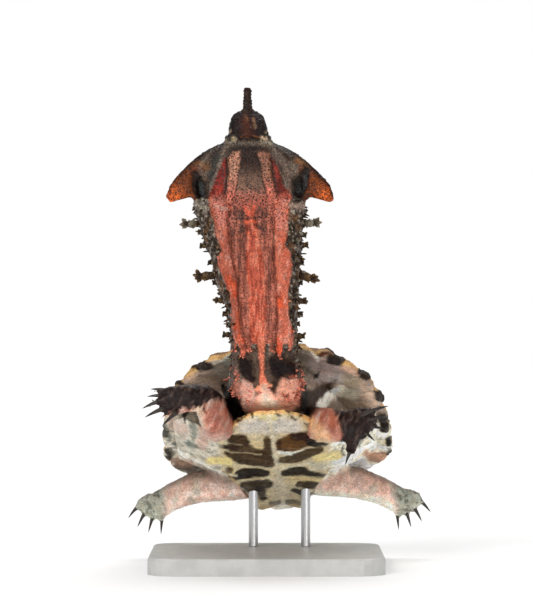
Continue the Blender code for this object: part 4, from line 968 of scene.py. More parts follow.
def head_paint(x, z, normals, fine, soft):
    """Stippled brown crown, grey streaked flanks, rust flaps. Also where chin and flaps are."""
    facing = front_of(normals)
    reach = np.abs(x + 7.1)
    head = lay(
        (0.26, 0.21, 0.18), ((0.36, 0.3, 0.26), facing * between(reach, 8, 19, 2.5) * (1 - step(170, 175, z))),
    )
    fan = clouds(np.stack([np.arctan2(x + 7.1, 190 - z) * 26, (190 - z) * 0.14, x * 0], 1), 1.0, 92, 3)
    head = lay(
        head, ((0.52, 0.47, 0.42), 0.75 * step(0.05, 0.6, fan) * facing * step(8, 11, reach)),
        ((0.15, 0.12, 0.11), 0.7 * step(0.05, 0.6, -fan) * facing),
    )
    head = dress(head, x, z, FLANK_MARKS, facing)
    rust = step(18.5, 21.5, reach) * (1 - step(163, 168.5, z + 0.35 * (reach - 17)))
    orange = lay(
        (0.46, 0.24, 0.13), ((0.82, 0.4, 0.2), step(24, 30.5, reach) * (1 - step(152, 159, z))),
        ((0.25, 0.14, 0.1), 0.6 * step(0.05, 0.7, soft)),
    )
    head = blend(head, orange, rust * (0.35 + 0.65 * facing))
    rim = table(
        ((0, 186), (9.5, 174), (14, 172), (19, 169.4), (24, 165.5), (29, 160.5), (32.2, 156.6), (33.4, 152.6)),
        reach,
    )
    head = blend(head, srgb(0.13, 0.1, 0.085), 0.85 * step(-2.4, -0.5, z - rim) * step(8, 11, reach))
    # gular: dark stipple that turns to salmon
    gular = between(x, table(RAMUS_EDGES["inner_right"], z), table(RAMUS_EDGES["inner_left"], z), 0.4)
    gular = gular * (1 - step(170.5, 172.0, z)) * facing
    dusk = lay(
        (0.22, 0.155, 0.13), ((0.48, 0.36, 0.3), 1 - step(156, 166, z)),
        ((0.7, 0.41, 0.34), 1 - step(151, 156.5, z)),
        ((0.12, 0.09, 0.08), 0.6 * step(0.2, 0.8, np.sin(z * 7.5 + soft)) * step(161, 165, z)),
    )
    head = blend(head, dusk, gular)
    for side in ("right", "left"):
        inner = table(RAMUS_EDGES["inner_" + side], z)
        outer = table(RAMUS_EDGES["outer_" + side], z)
        low, high = (outer, inner) if side == "right" else (inner, outer)
        ramus = between(x, low, high, 0.35) * (1 - step(169.5, 171.5, z)) * facing
        pale = (0.7, 0.5, 0.41) if side == "right" else (0.6, 0.41, 0.33)
        tone = lay(
            pale, ((0.8, 0.43, 0.36), 1 - step(151, 162, z)), ((0.5, 0.33, 0.27), 0.5 * step(0.1, 0.7, fine)),
        )
        head = blend(head, tone, ramus)
        head = dress(head, x, z, RED_MARKS[side], (1 - ramus) * facing)
        gutter = hump(x - outer, 0.5) * between(z, 152, 168.5, 1.0)
        head = blend(head, srgb(0.09, 0.04, 0.035), 0.9 * gutter * facing)
        inner_line = hump(x - inner, 0.35) * between(z, 150, 170.5, 1.0)
        head = blend(head, srgb(0.16, 0.09, 0.075), 0.6 * inner_line * facing)
    lip = hump(z - (173.5 - 0.02 * (x + 7.3) ** 2), 1.0) * (1 - step(9, 12, reach))
    tick = 0.6 + 0.4 * np.sin(x * 6.0 + 2 * soft)
    head = blend(head, srgb(0.47, 0.42, 0.37), 0.85 * lip * facing * tick)
    # painted shadow: a dark line under the lip
    under = hump(z - (171.3 - 0.02 * (x + 7.3) ** 2), 0.9) * (1 - step(6, 10, reach))
    head = blend(head, srgb(0.11, 0.08, 0.07), 0.85 * under * facing)
    snout = step(175.0, 175.8, z) * (1 - step(11.5, 12.5, reach))
    brown = lay(
        (0.15, 0.11, 0.095), ((0.3, 0.16, 0.115), stroke(x, z, ((-8.6, 182, 1.8), (-7.6, 177.5, 2.0)), 2.0)),
        ((0.1, 0.07, 0.06), 0.7 * step(0.1, 0.6, soft)),
        # painted highlight: a tan streak on the snout's dome
        ((0.6, 0.45, 0.34), 0.75 * stroke(x, z, ((-5.2, 183.2, 0.4), (-4.7, 179.6, 0.5)), 0.7)),
        ((0.5, 0.33, 0.24), 0.7 * stroke(x, z, ((-8.6, 184.2, 0.4), (-7.6, 182.6, 0.5)), 0.7)),
    )
    head = blend(head, brown, snout)
    mouth = hump(z - 175.2 + 0.012 * (x + 7.4) ** 2, 0.4) * (1 - step(8.0, 9.5, reach))
    head = blend(head, srgb(0.05, 0.02, 0.015), 0.97 * mouth * facing)
    lips = hump(z - 176.0 + 0.012 * (x + 7.4) ** 2, 0.35) * (1 - step(4, 6, reach))
    head = blend(head, srgb(0.62, 0.38, 0.2), 0.6 * lips * facing * step(-0.2, 0.4, fine))
    rays = 0.7 + 0.3 * step(-0.3, 0.3, fan)
    head = dress(head, x, z, CREAM_MARKS, rays * step(0.0, 0.3, 0.3 - normals[:, 1]))
    # painted shade and highlight in the ear hollows
    head = dress(head, x, z, EAR_SHADE_AND_HIGHLIGHT, facing)
    return head, gular, rust


def arm_paint(places, x, z, normals):
    """Pink inside, dark scaly outside, with painted shade in the hollows and on what faces back."""
    scaly = clouds(places @ SLANT, (1.0, 9, 3.0), 57, 3)
    arm_dark = lay(
        (0.175, 0.14, 0.135), ((0.38, 0.32, 0.29), 0.6 * step(0.1, 0.8, scaly)),
        ((0.1, 0.08, 0.08), 0.7 * step(0.1, 0.7, -scaly)),
    )
    slant = clouds(places @ SLANT, (1.4, 14, 6.0), 33, 3)
    flesh = lay(
        (0.77, 0.52, 0.44), ((0.66, 0.34, 0.27), 0.6 * step(0.0, 0.8, slant)),
        ((0.9, 0.79, 0.73), 0.7 * step(0.0, 0.8, -slant)),
    )
    flesh = dress(flesh, x, z, ARM_MARKS) * 0.82
    side = table(((72, 25.6), (69.4, 26.6), (65.4, 27.8), (60, 29.6), (56.6, 30.8), (51.8, 29.4), (48, 29)), z)
    edge = np.where(x < 0, z - 62.6 - 0.27 * (x + 46.6) + 2.4 * slant, x - side + 1.2 * slant)
    arm = blend(flesh, arm_dark, step(-0.9, 0.9, edge))
    # painted shade in the hollows beside the arms
    arm = dress(arm, x, z, HOLLOW_SHADE_MARKS)
    # painted shade: what faces back, into the shell, is darker
    arm = blend(arm, srgb(0.26, 0.22, 0.21), 0.8 * step(0.2, 0.6, normals[:, 1]))
    return arm


def leg_paint(places, x, z, normals, soft):
    """Pale pink thighs that turn to grey feet, with painted shade on their tops under the shell."""
    leg = lay(
        (0.92, 0.79, 0.73), ((0.85, 0.62, 0.55), 0.5 * step(0.0, 0.9, clouds(places, 2.6, 42, 3))),
        ((0.97, 0.93, 0.9), 0.6 * step(0.0, 0.8, clouds(places, 3.6, 43, 3))),
        # painted shade: browner towards the thighs' tops, under the shell's edge
        ((0.6, 0.45, 0.38), 0.6 * step(34, 42, z + 0.12 * np.abs(x))),
        ((0.62, 0.62, 0.54), 0.6 * step(24, 34, np.abs(x - 3)) * step(0.0, 0.5, soft)),
    )
    grey_foot = lay(
        (0.66, 0.66, 0.6), ((0.36, 0.36, 0.32), 0.85 * step(0.0, 0.6, clouds(places, 1.6, 44, 3))),
    )
    outer = np.maximum(step(37, 43, -x + soft), step(48, 54, x + soft))
    leg = blend(leg, grey_foot, np.clip(outer, 0, 1))
    leg = np.minimum(leg * np.where(x < 0, 0.92, 1.25 - 0.25 * outer.clip(0, 1))[:, None], 0.95)
    # painted shade: what faces up, under the shell, is darker
    painted_top_shade = step(0.2, 0.8, normals[:, 2])
    leg = blend(leg, srgb(0.4, 0.36, 0.32), 0.7 * painted_top_shade)
    return leg


def skin_paint(places, normals, zones):
    """The colour of each place of the skin, and its marks: dots and knobs."""
    wave = np.stack([clouds(places, 1.6, salt, 3) for salt in (51, 61)], 1)
    x, z = plan(places)
    x = x + 0.35 * wave[:, 0]
    z = z + 0.45 * wave[:, 1]
    facing = front_of(normals)
    reach = np.abs(x + 7.1)
    fine = clouds(places, 0.9, 71, 2)
    soft = clouds(places, 5.0, 81, 3)
    count = len(places)
    neck, inside, stipple = neck_paint(places, x, z, facing, wave, fine, soft)
    head, gular, rust = head_paint(x, z, normals, fine, soft)
    # marks that cross from head to neck
    head = dress(head, x, z, HEART_MARKS, facing)
    neck = dress(neck, x, z, HEART_MARKS, facing)
    ruddy = step(0.1, 0.18, head[:, 0] - head[:, 1])
    both = blend(neck, head, step(147.5, 154.5, z))
    centred = facing * (1 - step(13, 16, reach))
    head = blend(head, both, centred * (1 - step(154, 156, z)))
    neck = blend(neck, both, centred * step(145, 147, z))
    torso = underside(places)
    tail = lay((0.42, 0.37, 0.34), ((0.62, 0.52, 0.48), step(0, 0.8, fine)))
    tube = lay((0.19, 0.14, 0.125), ((0.32, 0.25, 0.22), 0.6 * step(0.1, 0.8, fine)))
    tint = np.zeros((count, 3))
    for name, colour in (
        ("neck", neck), ("head", head), ("arm", arm_paint(places, x, z, normals)),
        ("leg", leg_paint(places, x, z, normals, soft)), ("torso", torso),
        ("tail", tail), ("snorkel", tube),
    ):
        tint += colour * zones[name][:, None]
    dots = zones["neck"] * stipple
    rami = np.maximum(
        between(x, table(RAMUS_EDGES["outer_right"], z), table(RAMUS_EDGES["inner_right"], z)),
        between(x, table(RAMUS_EDGES["inner_left"], z), table(RAMUS_EDGES["outer_left"], z)),
    )
    dots += zones["head"] * facing * np.clip(0.5 + 0.4 * gular + 0.3 * rami + 0.5 * rust + 0.35 * ruddy, 0, 0.95)
    knobs = zones["neck"] * (0.5 + 0.5 * (1 - inside)) * step(72, 84, z) + 0.9 * zones["head"] + 0.3 * zones["arm"]
    knobs += 0.2 * zones["leg"] + 0.15 * zones["torso"] + 0.5 * zones["tail"] + zones["snorkel"]
    return tint, np.stack([dots, knobs, np.zeros(count)], 1)


ZONE_OF = {
    "neck_lower": "neck", "neck_middle": "neck", "neck_upper": "neck", "torso": "torso",
    "tail": "tail", "head": "head", "lower_jaw": "head", "head_flap_right": "head",
    "head_flap_left": "head", "snorkel": "snorkel",
}


def zone_of(node):
    return ZONE_OF.get(node) or ("arm" if node.startswith(("upper", "fore", "hand")) else "leg")


def find_zones(places, edges):
    """For each place, how far it belongs to each zone of the body, from 0 to 1."""
    names = ("neck", "head", "arm", "leg", "torso", "tail", "snorkel")
    points = []
    faces = []
    owners = []
    for node in FLESH:
        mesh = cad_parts[node].data
        start = len(points)
        points.extend(v.co.copy() for v in mesh.vertices)
        faces.extend([start + i for i in face.vertices] for face in mesh.polygons)
        owners.extend([names.index(zone_of(node))] * len(mesh.polygons))
    tree = BVHTree.FromPolygons(points, faces)
    owners = np.array(owners)
    found = np.array([tree.find_nearest(Vector(p) * MM)[2] for p in places])
    weights = np.zeros((len(places), len(names)))
    weights[np.arange(len(places)), owners[found]] = 1.0
    foot = (np.abs(places[:, 0] + 0.4) < 14) & (places[:, 1] < -24) & (places[:, 2] > 62)
    moved = foot * weights[:, 4]
    weights[:, 0] += moved
    weights[:, 4] -= moved
    weights = relax(weights, edges, 0.7, 6)
    return {name: weights[:, k] for k, name in enumerate(names)}


def add_neck(bm):
    """The neck's own tube, without lappets, from inside the torso into the head."""
    loops = []
    for x, y, z, lean, wide, deep in NECK:
        lean = math.radians(lean)
        made = bmesh.ops.create_circle(bm, cap_ends=False, radius=1.0, segments=48)["verts"]
        for vert in made:
            angle = math.atan2(vert.co.y, vert.co.x)
            across = math.copysign(abs(math.cos(angle)) ** 0.8, math.cos(angle)) * (wide + SWELL)
            depth = math.copysign(abs(math.sin(angle)) ** 0.8, math.sin(angle)) * (deep + SWELL)
            place = Vector((x + across, y + depth * math.cos(lean), z + depth * math.sin(lean)))
            vert.co = place * MM
        loops.append(list({e for v in made for e in v.link_edges}))
    for low, high in zip(loops, loops[1:]):
        bmesh.ops.bridge_loops(bm, edges=low + high)
    for loop in (loops[0], loops[-1]):
        bmesh.ops.edgeloop_fill(bm, edges=loop)


def claw_roots():
    """Each claw's root, direction, droop and length."""
    found = []
    for root, tip in HAND_CLAWS:
        run = Vector(tip) - Vector(root)
        found.append((Vector(root), run.normalized(), Vector((0, -0.3, -1)).normalized(), run.length))
    for ankle, ball, across in FEET:
        ball, across = Vector(ball), Vector(across)
        heading = (ball - Vector(ankle)).normalized()
        wide = (across - heading * across.dot(heading)).normalized()
        for i in range(FOOT_CLAWS):
            turn = -1 + 2 * i / (FOOT_CLAWS - 1)
            angle = math.radians(FOOT_FAN * turn)
            direction = heading * math.cos(angle) + wide * math.sin(angle)
            root = ball + wide * (turn * FOOT_HALF * 0.72) - heading * (2.6 + 1.6 * turn * turn)
            found.append((root, direction, Vector((0, 0, -1)), FOOT_CLAW_LENGTH))
    return found


def shape_toes(places):
    """Toes that lead to each claw: the skin swells along them and draws back between them."""
    nearest = np.full(len(places), 99.0)
    ahead = np.zeros(len(places))
    aim = np.zeros((len(places), 3))
    for root, direction, droop, length in claw_roots():
        root, direction = np.array(root), np.array(direction)
        offset = places - root
        along = offset @ direction
        line = root + direction * np.clip(along, -9, length)[:, None]
        line += np.array(droop) * (length * 0.16 * np.clip(along / length, 0, 1) ** 2)[:, None]
        away = places - line
        gap = np.linalg.norm(away, axis=1)
        closer = gap < nearest
        nearest = np.where(closer, gap, nearest)
        ahead = np.where(closer, along, ahead)
        aim[closer] = direction
        pinch = step(1.9, 3.0, along) * (1 - step(1.8, 2.4, gap)) * 0.75
        places = places - away * pinch[:, None]
        toe = hump(gap, 1.8) * between(along, -8, 1.2, 1.4)
        places = places + away / np.maximum(gap, 0.3)[:, None] * (0.6 * toe)[:, None]
    web = step(0.9, 2.2, nearest) * step(-1.0, 1.5, ahead) * (nearest < 6)
    return places - aim * (2.2 * web)[:, None]


def build_skin(settings):
    """The skin: solids merged, remeshed, refined in front, shaped and painted."""
    bm = merged_copy([n for n in FLESH if n not in FRINGED], SWELL)
    add_neck(bm)
    mesh = remesh(bm, settings.voxel)
    places = read(mesh) / MM
    uvh = (places - BODY_AT) @ AXES.T
    # thin out what the shell hides
    hidden = between(uvh[:, 0], -94, -40, 1) * (1 - step(24, 27, np.abs(uvh[:, 1])))
    hidden *= between(uvh[:, 2], 1, 40, 0.5)
    hidden *= (places[:, 2] < 92) & (np.abs(places[:, 0]) < 60)
    ratio = 1 - 0.9 * float((hidden > 0.5).mean())
    mesh = apply_modifiers(mesh, [("DECIMATE", {"ratio": ratio}, hidden)])
    # halve the edges of the throat and face, which the camera sees closest
    bm = bmesh.new()
    bm.from_mesh(mesh)
    bm.normal_update()
    front = [
        f for f in bm.faces
        if f.normal.y < 0.1 and f.calc_center_median().z > 0.066
        and f.calc_center_median().y < -0.05 and abs(f.calc_center_median().x + 0.007) < (
            0.036 if f.calc_center_median().z > 0.145 else 0.0235)
    ]
    edges = list({e for f in front for e in f.edges})
    bmesh.ops.subdivide_edges(bm, edges=edges, cuts=1, use_grid_fill=True)
    bm.to_mesh(mesh)
    bm.free()
    pairs = edge_pairs(mesh)
    places = relax(read(mesh) / MM, pairs, 0.5, 3)
    write(mesh, places)
    places = places - read(mesh, "vertex_normals", "vector") * SWELL
    places = shape_toes(places)
    write(mesh, places)
    zones = find_zones(places, pairs)
    normals = read(mesh, "vertex_normals", "vector")
    smooth = relax(normals, pairs, 0.6, 4)
    smooth /= np.linalg.norm(smooth, axis=1).clip(1e-6)[:, None]
    places = places + smooth * skin_shape(places, smooth, zones)[:, None]
    places = relax(places, pairs, 0.35, 1)
    write(mesh, places)
    tint, marks = skin_paint(places, smooth, zones)
    paint(mesh, "Tint", grade(tint, settings.depth, smooth))
    paint(mesh, "Marks", marks)
    return mesh


# ---- shells ----

CARAPACE_HALF = (
    (-114, 6), (-110, 17), (-104, 29), (-92, 43), (-77, 47.5), (-57, 46), (-34, 43), (-18, 36),
    (-3, 24), (3, 15), (6, 7),
)
RIM_HEIGHT = ((-114, 17), (-77, 17.5), (-57, 20), (-30, 22.5), (6, 25))
VERTEBRAL_SEAMS = (0, -22, -46, -70, -92, -107)
VERTEBRAL_NARROW = 9.0
VERTEBRAL_WIDE = 13.0
MARGINAL_DEPTH = 9.0
MARGINAL_COUNT = 12


def rim_share(u, side):
    """How far along the rim a station is, from 0 in front to 1 behind."""
    stations = np.linspace(6, -114, 121)
    half = table(CARAPACE_HALF, stations)
    length = np.concatenate([[0], np.cumsum(np.hypot(np.diff(stations), np.diff(half)))])
    return np.interp(-u, -stations, length / length[-1])


def scute_outlines():
    """The outline of each vertebral and costal scute, as corners of u and v."""
    outlines = []
    for i, (front, rear) in enumerate(zip(VERTEBRAL_SEAMS, VERTEBRAL_SEAMS[1:])):
        middle = (front + rear) / 2
        first = VERTEBRAL_WIDE if i == 0 else VERTEBRAL_NARROW
        last = VERTEBRAL_NARROW if i < len(VERTEBRAL_SEAMS) - 2 else VERTEBRAL_NARROW - 3
        corners = (
            (front, -first), (front, first), (middle, VERTEBRAL_WIDE), (rear, last),
            (rear, -last), (middle, -VERTEBRAL_WIDE),
        )
        outlines.append((corners, (rear + (front - rear) * 0.35, 0)))
    middles = [(a + b) / 2 for a, b in zip(VERTEBRAL_SEAMS, VERTEBRAL_SEAMS[1:])]
    middles[0] = VERTEBRAL_SEAMS[0] - 3
    for side in (-1, 1):
        for i, (front, rear) in enumerate(zip(middles, middles[1:])):
            outer = [float(table(CARAPACE_HALF, u)) - MARGINAL_DEPTH for u in (front, (front + rear) / 2, rear)]
            corners = (
                (front, side * VERTEBRAL_WIDE), (VERTEBRAL_SEAMS[i + 1], side * VERTEBRAL_NARROW),
                (rear, side * VERTEBRAL_WIDE), (rear, side * outer[2]),
                ((front + rear) / 2, side * outer[1]), (front, side * max(outer[0], VERTEBRAL_WIDE + 3)),
            )
            peak = (rear + (front - rear) * 0.4, side * (VERTEBRAL_WIDE + outer[2]) / 2)
            outlines.append((corners, peak))
    return outlines


def inside_depth(u, v, corners):
    """Distance in from the nearest side of an outline: below 0 outside it."""
    middle = np.mean(corners, axis=0)
    depth = np.full(len(u), 99.0)
    for a, b in zip(corners, corners[1:] + corners[:1]):
        a, b = np.array(a, float), np.array(b, float)
        run = (b - a) / np.linalg.norm(b - a)
        normal = np.array((-run[1], run[0]))
        if (middle - a) @ normal < 0:
            normal = -normal
        depth = np.minimum(depth, (u - a[0]) * normal[0] + (v - a[1]) * normal[1])
    return depth


RIM_KNOBS = tuple(
    (tone, 0.97, 0.45, *path) for tone, *path in (
        ((0.12, 0.095, 0.09), (-30.0, 85.2, 1.8), (-26.4, 84.4, 2.2), (-22.6, 84.6, 1.3)),
        ((0.1, 0.08, 0.08), (-37.8, 77.8, 1.3), (-34.4, 77.4, 1.0)),
        ((0.3, 0.15, 0.1), (21.8, 88.8, 0.8), (25.0, 88.6, 0.8)),
        ((0.1, 0.085, 0.08), (25.0, 86.8, 1.5), (28.4, 87.0, 2.3), (30.6, 88.2, 2.0)),
        ((0.12, 0.1, 0.09), (37.4, 81.8, 1.5), (39.8, 80.2, 2.0)),
        ((0.14, 0.12, 0.11), (44.4, 73.2, 1.5), (45.8, 71.6, 1.8)),
        ((0.14, 0.12, 0.1), (46.4, 63.6, 2.0), (47.4, 59.6, 1.8)),
        ((0.13, 0.12, 0.11), (48.6, 55.6, 1.2), (48.8, 53.6, 1.1)),
        ((0.2, 0.19, 0.17), (49.2, 50.8, 0.9), (49.0, 49.4, 0.9)),
        ((0.3, 0.3, 0.27), (-41.2, 60.0, 1.0), (-40.8, 56.8, 1.0)),
        ((0.2, 0.19, 0.17), (-39.8, 50.8, 1.0), (-39.0, 48.0, 1.1)),
    )
)


def build_carapace(settings):
    mesh = remesh(merged_copy(["carapace"], 0.0), settings.voxel)
    pairs = edge_pairs(mesh)
    places = relax(read(mesh) / MM, pairs, 0.5, 2)
    write(mesh, places)
    normals = read(mesh, "vertex_normals", "vector")
    u, v, h = ((places - BODY_AT) @ AXES.T).T
    half = table(CARAPACE_HALF, u)
    up = normals @ AXES[2]
    top = step(0.1, 0.5, up + (h - table(RIM_HEIGHT, u)) * 0.15)
    wobble = clouds(places, 6.0, 101)
    rings = np.zeros(len(u))
    seam = np.zeros(len(u))
    knob = np.zeros(len(u))
    owned = np.zeros(len(u))
    cone = np.zeros(len(u))
    for corners, peak in scute_outlines():
        depth = inside_depth(u, v, tuple(corners))
        within = step(0.0, 0.4, depth)
        rings += within * np.sin(depth * (2 * math.pi / 1.7) + wobble) * (1 - step(9, 12, depth))
        seam = np.maximum(seam, hump(depth, 0.55))
        reach = np.hypot((u - peak[0]) * 0.9, v - peak[1])
        knob = np.maximum(knob, 1 - step(1.5, 5.5, reach))
        cone = np.maximum(cone, 1.7 * np.exp(-reach / 4.0))
        owned = np.maximum(owned, within)
    share = rim_share(u, v) * MARGINAL_COUNT
    place_on = share - np.floor(share)
    edge_in = half - np.abs(v)
    marginal = (1 - owned) * top
    rings += marginal * np.sin(np.minimum(np.abs(place_on - 0.5) * -18, -edge_in) * 2.6 + wobble)
    out = 0.2 * rings * top - 0.35 * seam * top + cone * top
    out += 0.3 * clouds(places, 3.0, 103, 3) * (0.5 + 0.5 * top)
    gap = np.minimum(place_on, 1 - place_on)
    out -= 0.9 * hump(gap, 0.1) * (1 - step(1.5, 5.0, edge_in))
    x, z = plan(places)
    x = x + 0.5 * clouds(places, 3.0, 104, 3)
    z = z + 0.5 * clouds(places, 3.0, 105, 3)
    near = (edge_in < 9) * (normals[:, 1] < 0.5)
    for _, _, soft, *path in RIM_KNOBS:
        out += 0.7 * stroke(x, z, path, soft) * near
    write(mesh, places + normals * out[:, None])
    # top: brown horn with dark seams, knobs and rays
    count = len(u)
    soft = clouds(places, 8.0, 106, 3)
    fine = clouds(places, 1.4, 107, 3)
    horn = lay(
        (0.5, 0.36, 0.24), ((0.62, 0.46, 0.3), step(0.0, 0.8, soft)),
        ((0.36, 0.25, 0.17), 0.55 * step(0.1, 0.8, fine)),
        ((0.22, 0.15, 0.11), 0.75 * step(0.3, 0.75, clouds(places, 5.0, 108, 3))),
        ((0.16, 0.11, 0.08), 0.85 * knob), ((0.17, 0.12, 0.09), 0.6 * seam),
        ((0.42, 0.3, 0.19), 0.35 * step(0.2, 0.9, rings)),
    )
    rim_gold = hump(edge_in, 2.0)
    horn = blend(horn, srgb(0.84, 0.66, 0.42), 0.6 * rim_gold)
    # underside: dusky in front, pale and blotched at the sides, a thin ochre edge
    tint = blend(underside(places), horn, top)
    uneven = 1.3 + 0.7 * clouds(places, 4.0, 145, 2)
    gold = (1 - step(0.4, 1.0, edge_in / np.maximum(uneven, 0.3))) * step(-0.35, 0.15, up)
    tint = blend(tint, srgb(0.86, 0.69, 0.45), 0.85 * gold * (1 - 0.5 * top))
    joint = hump(gap, 0.035) * (1 - step(3.0, 8.0, edge_in))
    tint = blend(tint, srgb(0.26, 0.21, 0.17), 0.5 * joint)
    tint = dress(tint, x, z, RIM_KNOBS, near)
    paint(mesh, "Tint", grade(tint, settings.depth, normals))
    paint(mesh, "Marks", np.stack([0.4 + 0.6 * top, 0.7 - 0.3 * top, np.zeros(count)], 1))
    return mesh


BELLY_MARKS = (
    # pale ground first, then each dark wedge and its seams
    ((0.77, 0.74, 0.7), 0.9, 1.2, (-9, 59.8, 2.4), (0, 60.6, 3.6), (12, 60.0, 2.6)),
    ((0.82, 0.77, 0.56), 0.9, 0.8, (-2, 63.6, 1.0), (3, 63.4, 1.2)),
    ((0.88, 0.8, 0.53), 0.95, 0.8, (-22.6, 46.4, 1.4), (-15.0, 46.0, 1.7)),
    ((0.86, 0.79, 0.55), 0.95, 0.8, (20.0, 47.2, 1.4), (28.4, 48.4, 1.8)),
    ((0.82, 0.74, 0.56), 0.8, 0.8, (-19.0, 53.6, 1.2), (-17.6, 49.4, 1.4)),
    ((0.72, 0.7, 0.62), 0.8, 1.0, (18.6, 44.2, 1.4), (27.6, 43.6, 1.8)),
    ((0.79, 0.74, 0.65), 0.8, 1.2, (4.6, 37, 2.6), (6.0, 33.6, 3.4)),
    ((0.78, 0.7, 0.5), 0.8, 0.7, (9.6, 39.2, 0.8), (20.6, 38.6, 1.0)),
    ((0.24, 0.15, 0.08), 0.97, 0.5, (-14.2, 54.9, 1.5), (-9.6, 54.8, 1.7), (-8.2, 53.4, 1.3)),
    ((0.12, 0.08, 0.05), 0.97, 0.3, (-19.8, 52.0, 0.3), (-14.3, 51.8, 0.7), (-12, 51.4, 0.9)),
    ((0.3, 0.2, 0.11), 0.95, 0.5, (-13.2, 51.0, 1.3), (-6, 50.4, 1.7), (0.8, 50.4, 1.9), (0.2, 54.4, 1.2)),
    ((0.84, 0.76, 0.58), 0.9, 0.6, (-5.8, 53.4, 0.9), (-2.6, 52.4, 1.5)),
    ((0.27, 0.19, 0.12), 0.97, 0.4, (-16, 49.4, 0.5), (-10, 47.4, 2.1), (-2, 46.5, 2.4), (2.0, 46.0, 1.9)),
    ((0.4, 0.31, 0.22), 0.7, 0.9, (-4, 46.2, 1.2), (1.6, 45.8, 1.2)),
    ((0.72, 0.66, 0.54), 0.7, 0.25, (-16.0, 50.0, 0.2), (-9, 49.4, 0.25), (-2, 48.8, 0.3)),
    ((0.12, 0.085, 0.055), 0.98, 0.4, (-14.2, 38.9, 0.8), (-10.2, 41.0, 1.8), (-4, 41.8, 1.5), (0, 41.2, 1.0)),
    ((0.8, 0.75, 0.62), 0.8, 0.25, (-11.4, 44.5, 0.3), (-3, 43.7, 0.35), (0.6, 42.8, 0.4)),
    ((0.25, 0.2, 0.16), 0.95, 0.5, (-9.4, 36.6, 1.0), (-4.5, 36.2, 1.9), (0.6, 37.0, 1.5)),
    ((0.2, 0.15, 0.12), 0.95, 0.5, (-2.4, 34.4, 1.6), (-1.4, 31.6, 1.1)),
    ((0.15, 0.11, 0.08), 0.9, 0.4, (-8.4, 34.6, 0.4), (-6.6, 33.8, 0.6)),
    (
        (0.42, 0.255, 0.085), 0.97, 0.5, (6.2, 52.4, 2.5), (11.0, 53.8, 3.3), (16.4, 54.8, 2.3),
        (18.6, 55.0, 0.9),
    ),
    ((0.2, 0.125, 0.06), 0.85, 0.7, (11.0, 55.8, 1.2), (15.6, 55.8, 1.4), (17.8, 54.6, 1.2)),
    ((0.18, 0.11, 0.06), 0.7, 0.4, (5.0, 53.4, 0.5), (5.2, 50.8, 0.5)),
    ((0.11, 0.08, 0.05), 0.97, 0.3, (16.6, 53.2, 0.5), (20, 52.8, 0.6), (24.0, 53.2, 0.45)),
    ((0.92, 0.89, 0.84), 0.9, 0.4, (4.8, 49.7, 0.6), (10.2, 48.9, 0.7), (14.8, 50.5, 0.4)),
    ((0.31, 0.23, 0.14), 0.95, 0.4, (5.6, 46.5, 0.8), (10.5, 47.0, 1.4), (16, 49.0, 1.6), (21.5, 50.8, 0.9)),
    ((0.84, 0.81, 0.72), 0.8, 0.3, (5.8, 43.6, 0.4), (11, 43.9, 0.5), (17.5, 45.5, 0.5)),
    (
        (0.13, 0.1, 0.065), 0.97, 0.4, (6.8, 41.3, 0.8), (11.5, 41.9, 1.4), (14.8, 42.2, 1.3),
        (18, 41, 0.7), (24.6, 40.2, 0.4),
    ),
    ((0.22, 0.17, 0.13), 0.95, 0.4, (12.6, 36.8, 0.8), (16.5, 36.7, 1.2), (20.8, 36.4, 1.0)),
    ((0.11, 0.09, 0.06), 0.97, 0.35, (10.4, 34.6, 0.4), (15.0, 33.2, 0.8), (19.0, 32.3, 0.8)),
    ((0.36, 0.31, 0.24), 0.8, 0.6, (2.0, 29.0, 0.8), (5.6, 29.6, 0.9)),
    ((0.36, 0.31, 0.23), 0.8, 0.6, (8.4, 29.8, 0.8), (12.6, 29.2, 0.9)),
    ((0.8, 0.74, 0.55), 0.9, 0.35, (-14.9, 42.4, 2.3)),
    ((0.36, 0.22, 0.11), 0.9, 0.4, (-15.0, 42.5, 1.1)),
    ((0.88, 0.84, 0.72), 0.8, 0.4, (-24, 44.6, 0.5), (-16.7, 40.6, 0.5), (-12.2, 40.4, 0.5)),
    ((0.74, 0.62, 0.4), 0.9, 0.4, (-19.4, 44.2, 0.5), (-13.4, 38.0, 0.7), (-9.4, 33.2, 0.7), (-4.6, 28.0, 0.8)),
    ((0.72, 0.62, 0.44), 0.85, 0.4, (25.4, 43.2, 0.5), (21.4, 36.0, 0.7), (17.6, 31.2, 0.7)),
    ((0.17, 0.12, 0.09), 0.85, 0.3, (-17.6, 41.4, 0.2), (-15.4, 39.4, 0.5), (-13.6, 37.0, 0.2)),
    ((0.17, 0.12, 0.09), 0.85, 0.3, (-10.0, 32.6, 0.2), (-7.6, 30.0, 0.5), (-6.0, 28.6, 0.2)),
    ((0.66, 0.54, 0.34), 0.8, 0.7, (-1.6, 27.6, 0.8), (3.0, 27.8, 0.8), (12.0, 28.2, 0.9)),
)
EDGE_MARKS = tuple(
    ((0.13, 0.095, 0.08), 0.9, 0.4, (x, z, size), (x + run, z + fall, size * 0.7))
    for x, z, run, fall, size in (
        (-5.9, 65.2, 0.4, -1.4, 0.7), (4.1, 65.0, 1.2, -0.6, 0.5), (10.0, 63.6, 1.6, -0.9, 0.5),
        (-11.4, 62.2, 1.4, 0.3, 0.7), (-17.0, 57.4, 1.0, 0.8, 0.4), (18.2, 58.6, 1.0, -0.6, 0.4),
        (-14.4, 60.2, 0.6, 0.4, 0.3), (15.2, 61.4, 0.8, -0.6, 0.3), (-6.4, 32.2, 0.5, 0.3, 0.3),
    )
)
MIDLINE = ((66, 0.6), (56, 2.4), (50, 3.2), (41.6, 4.9), (34, 6.0), (28, 6.8))


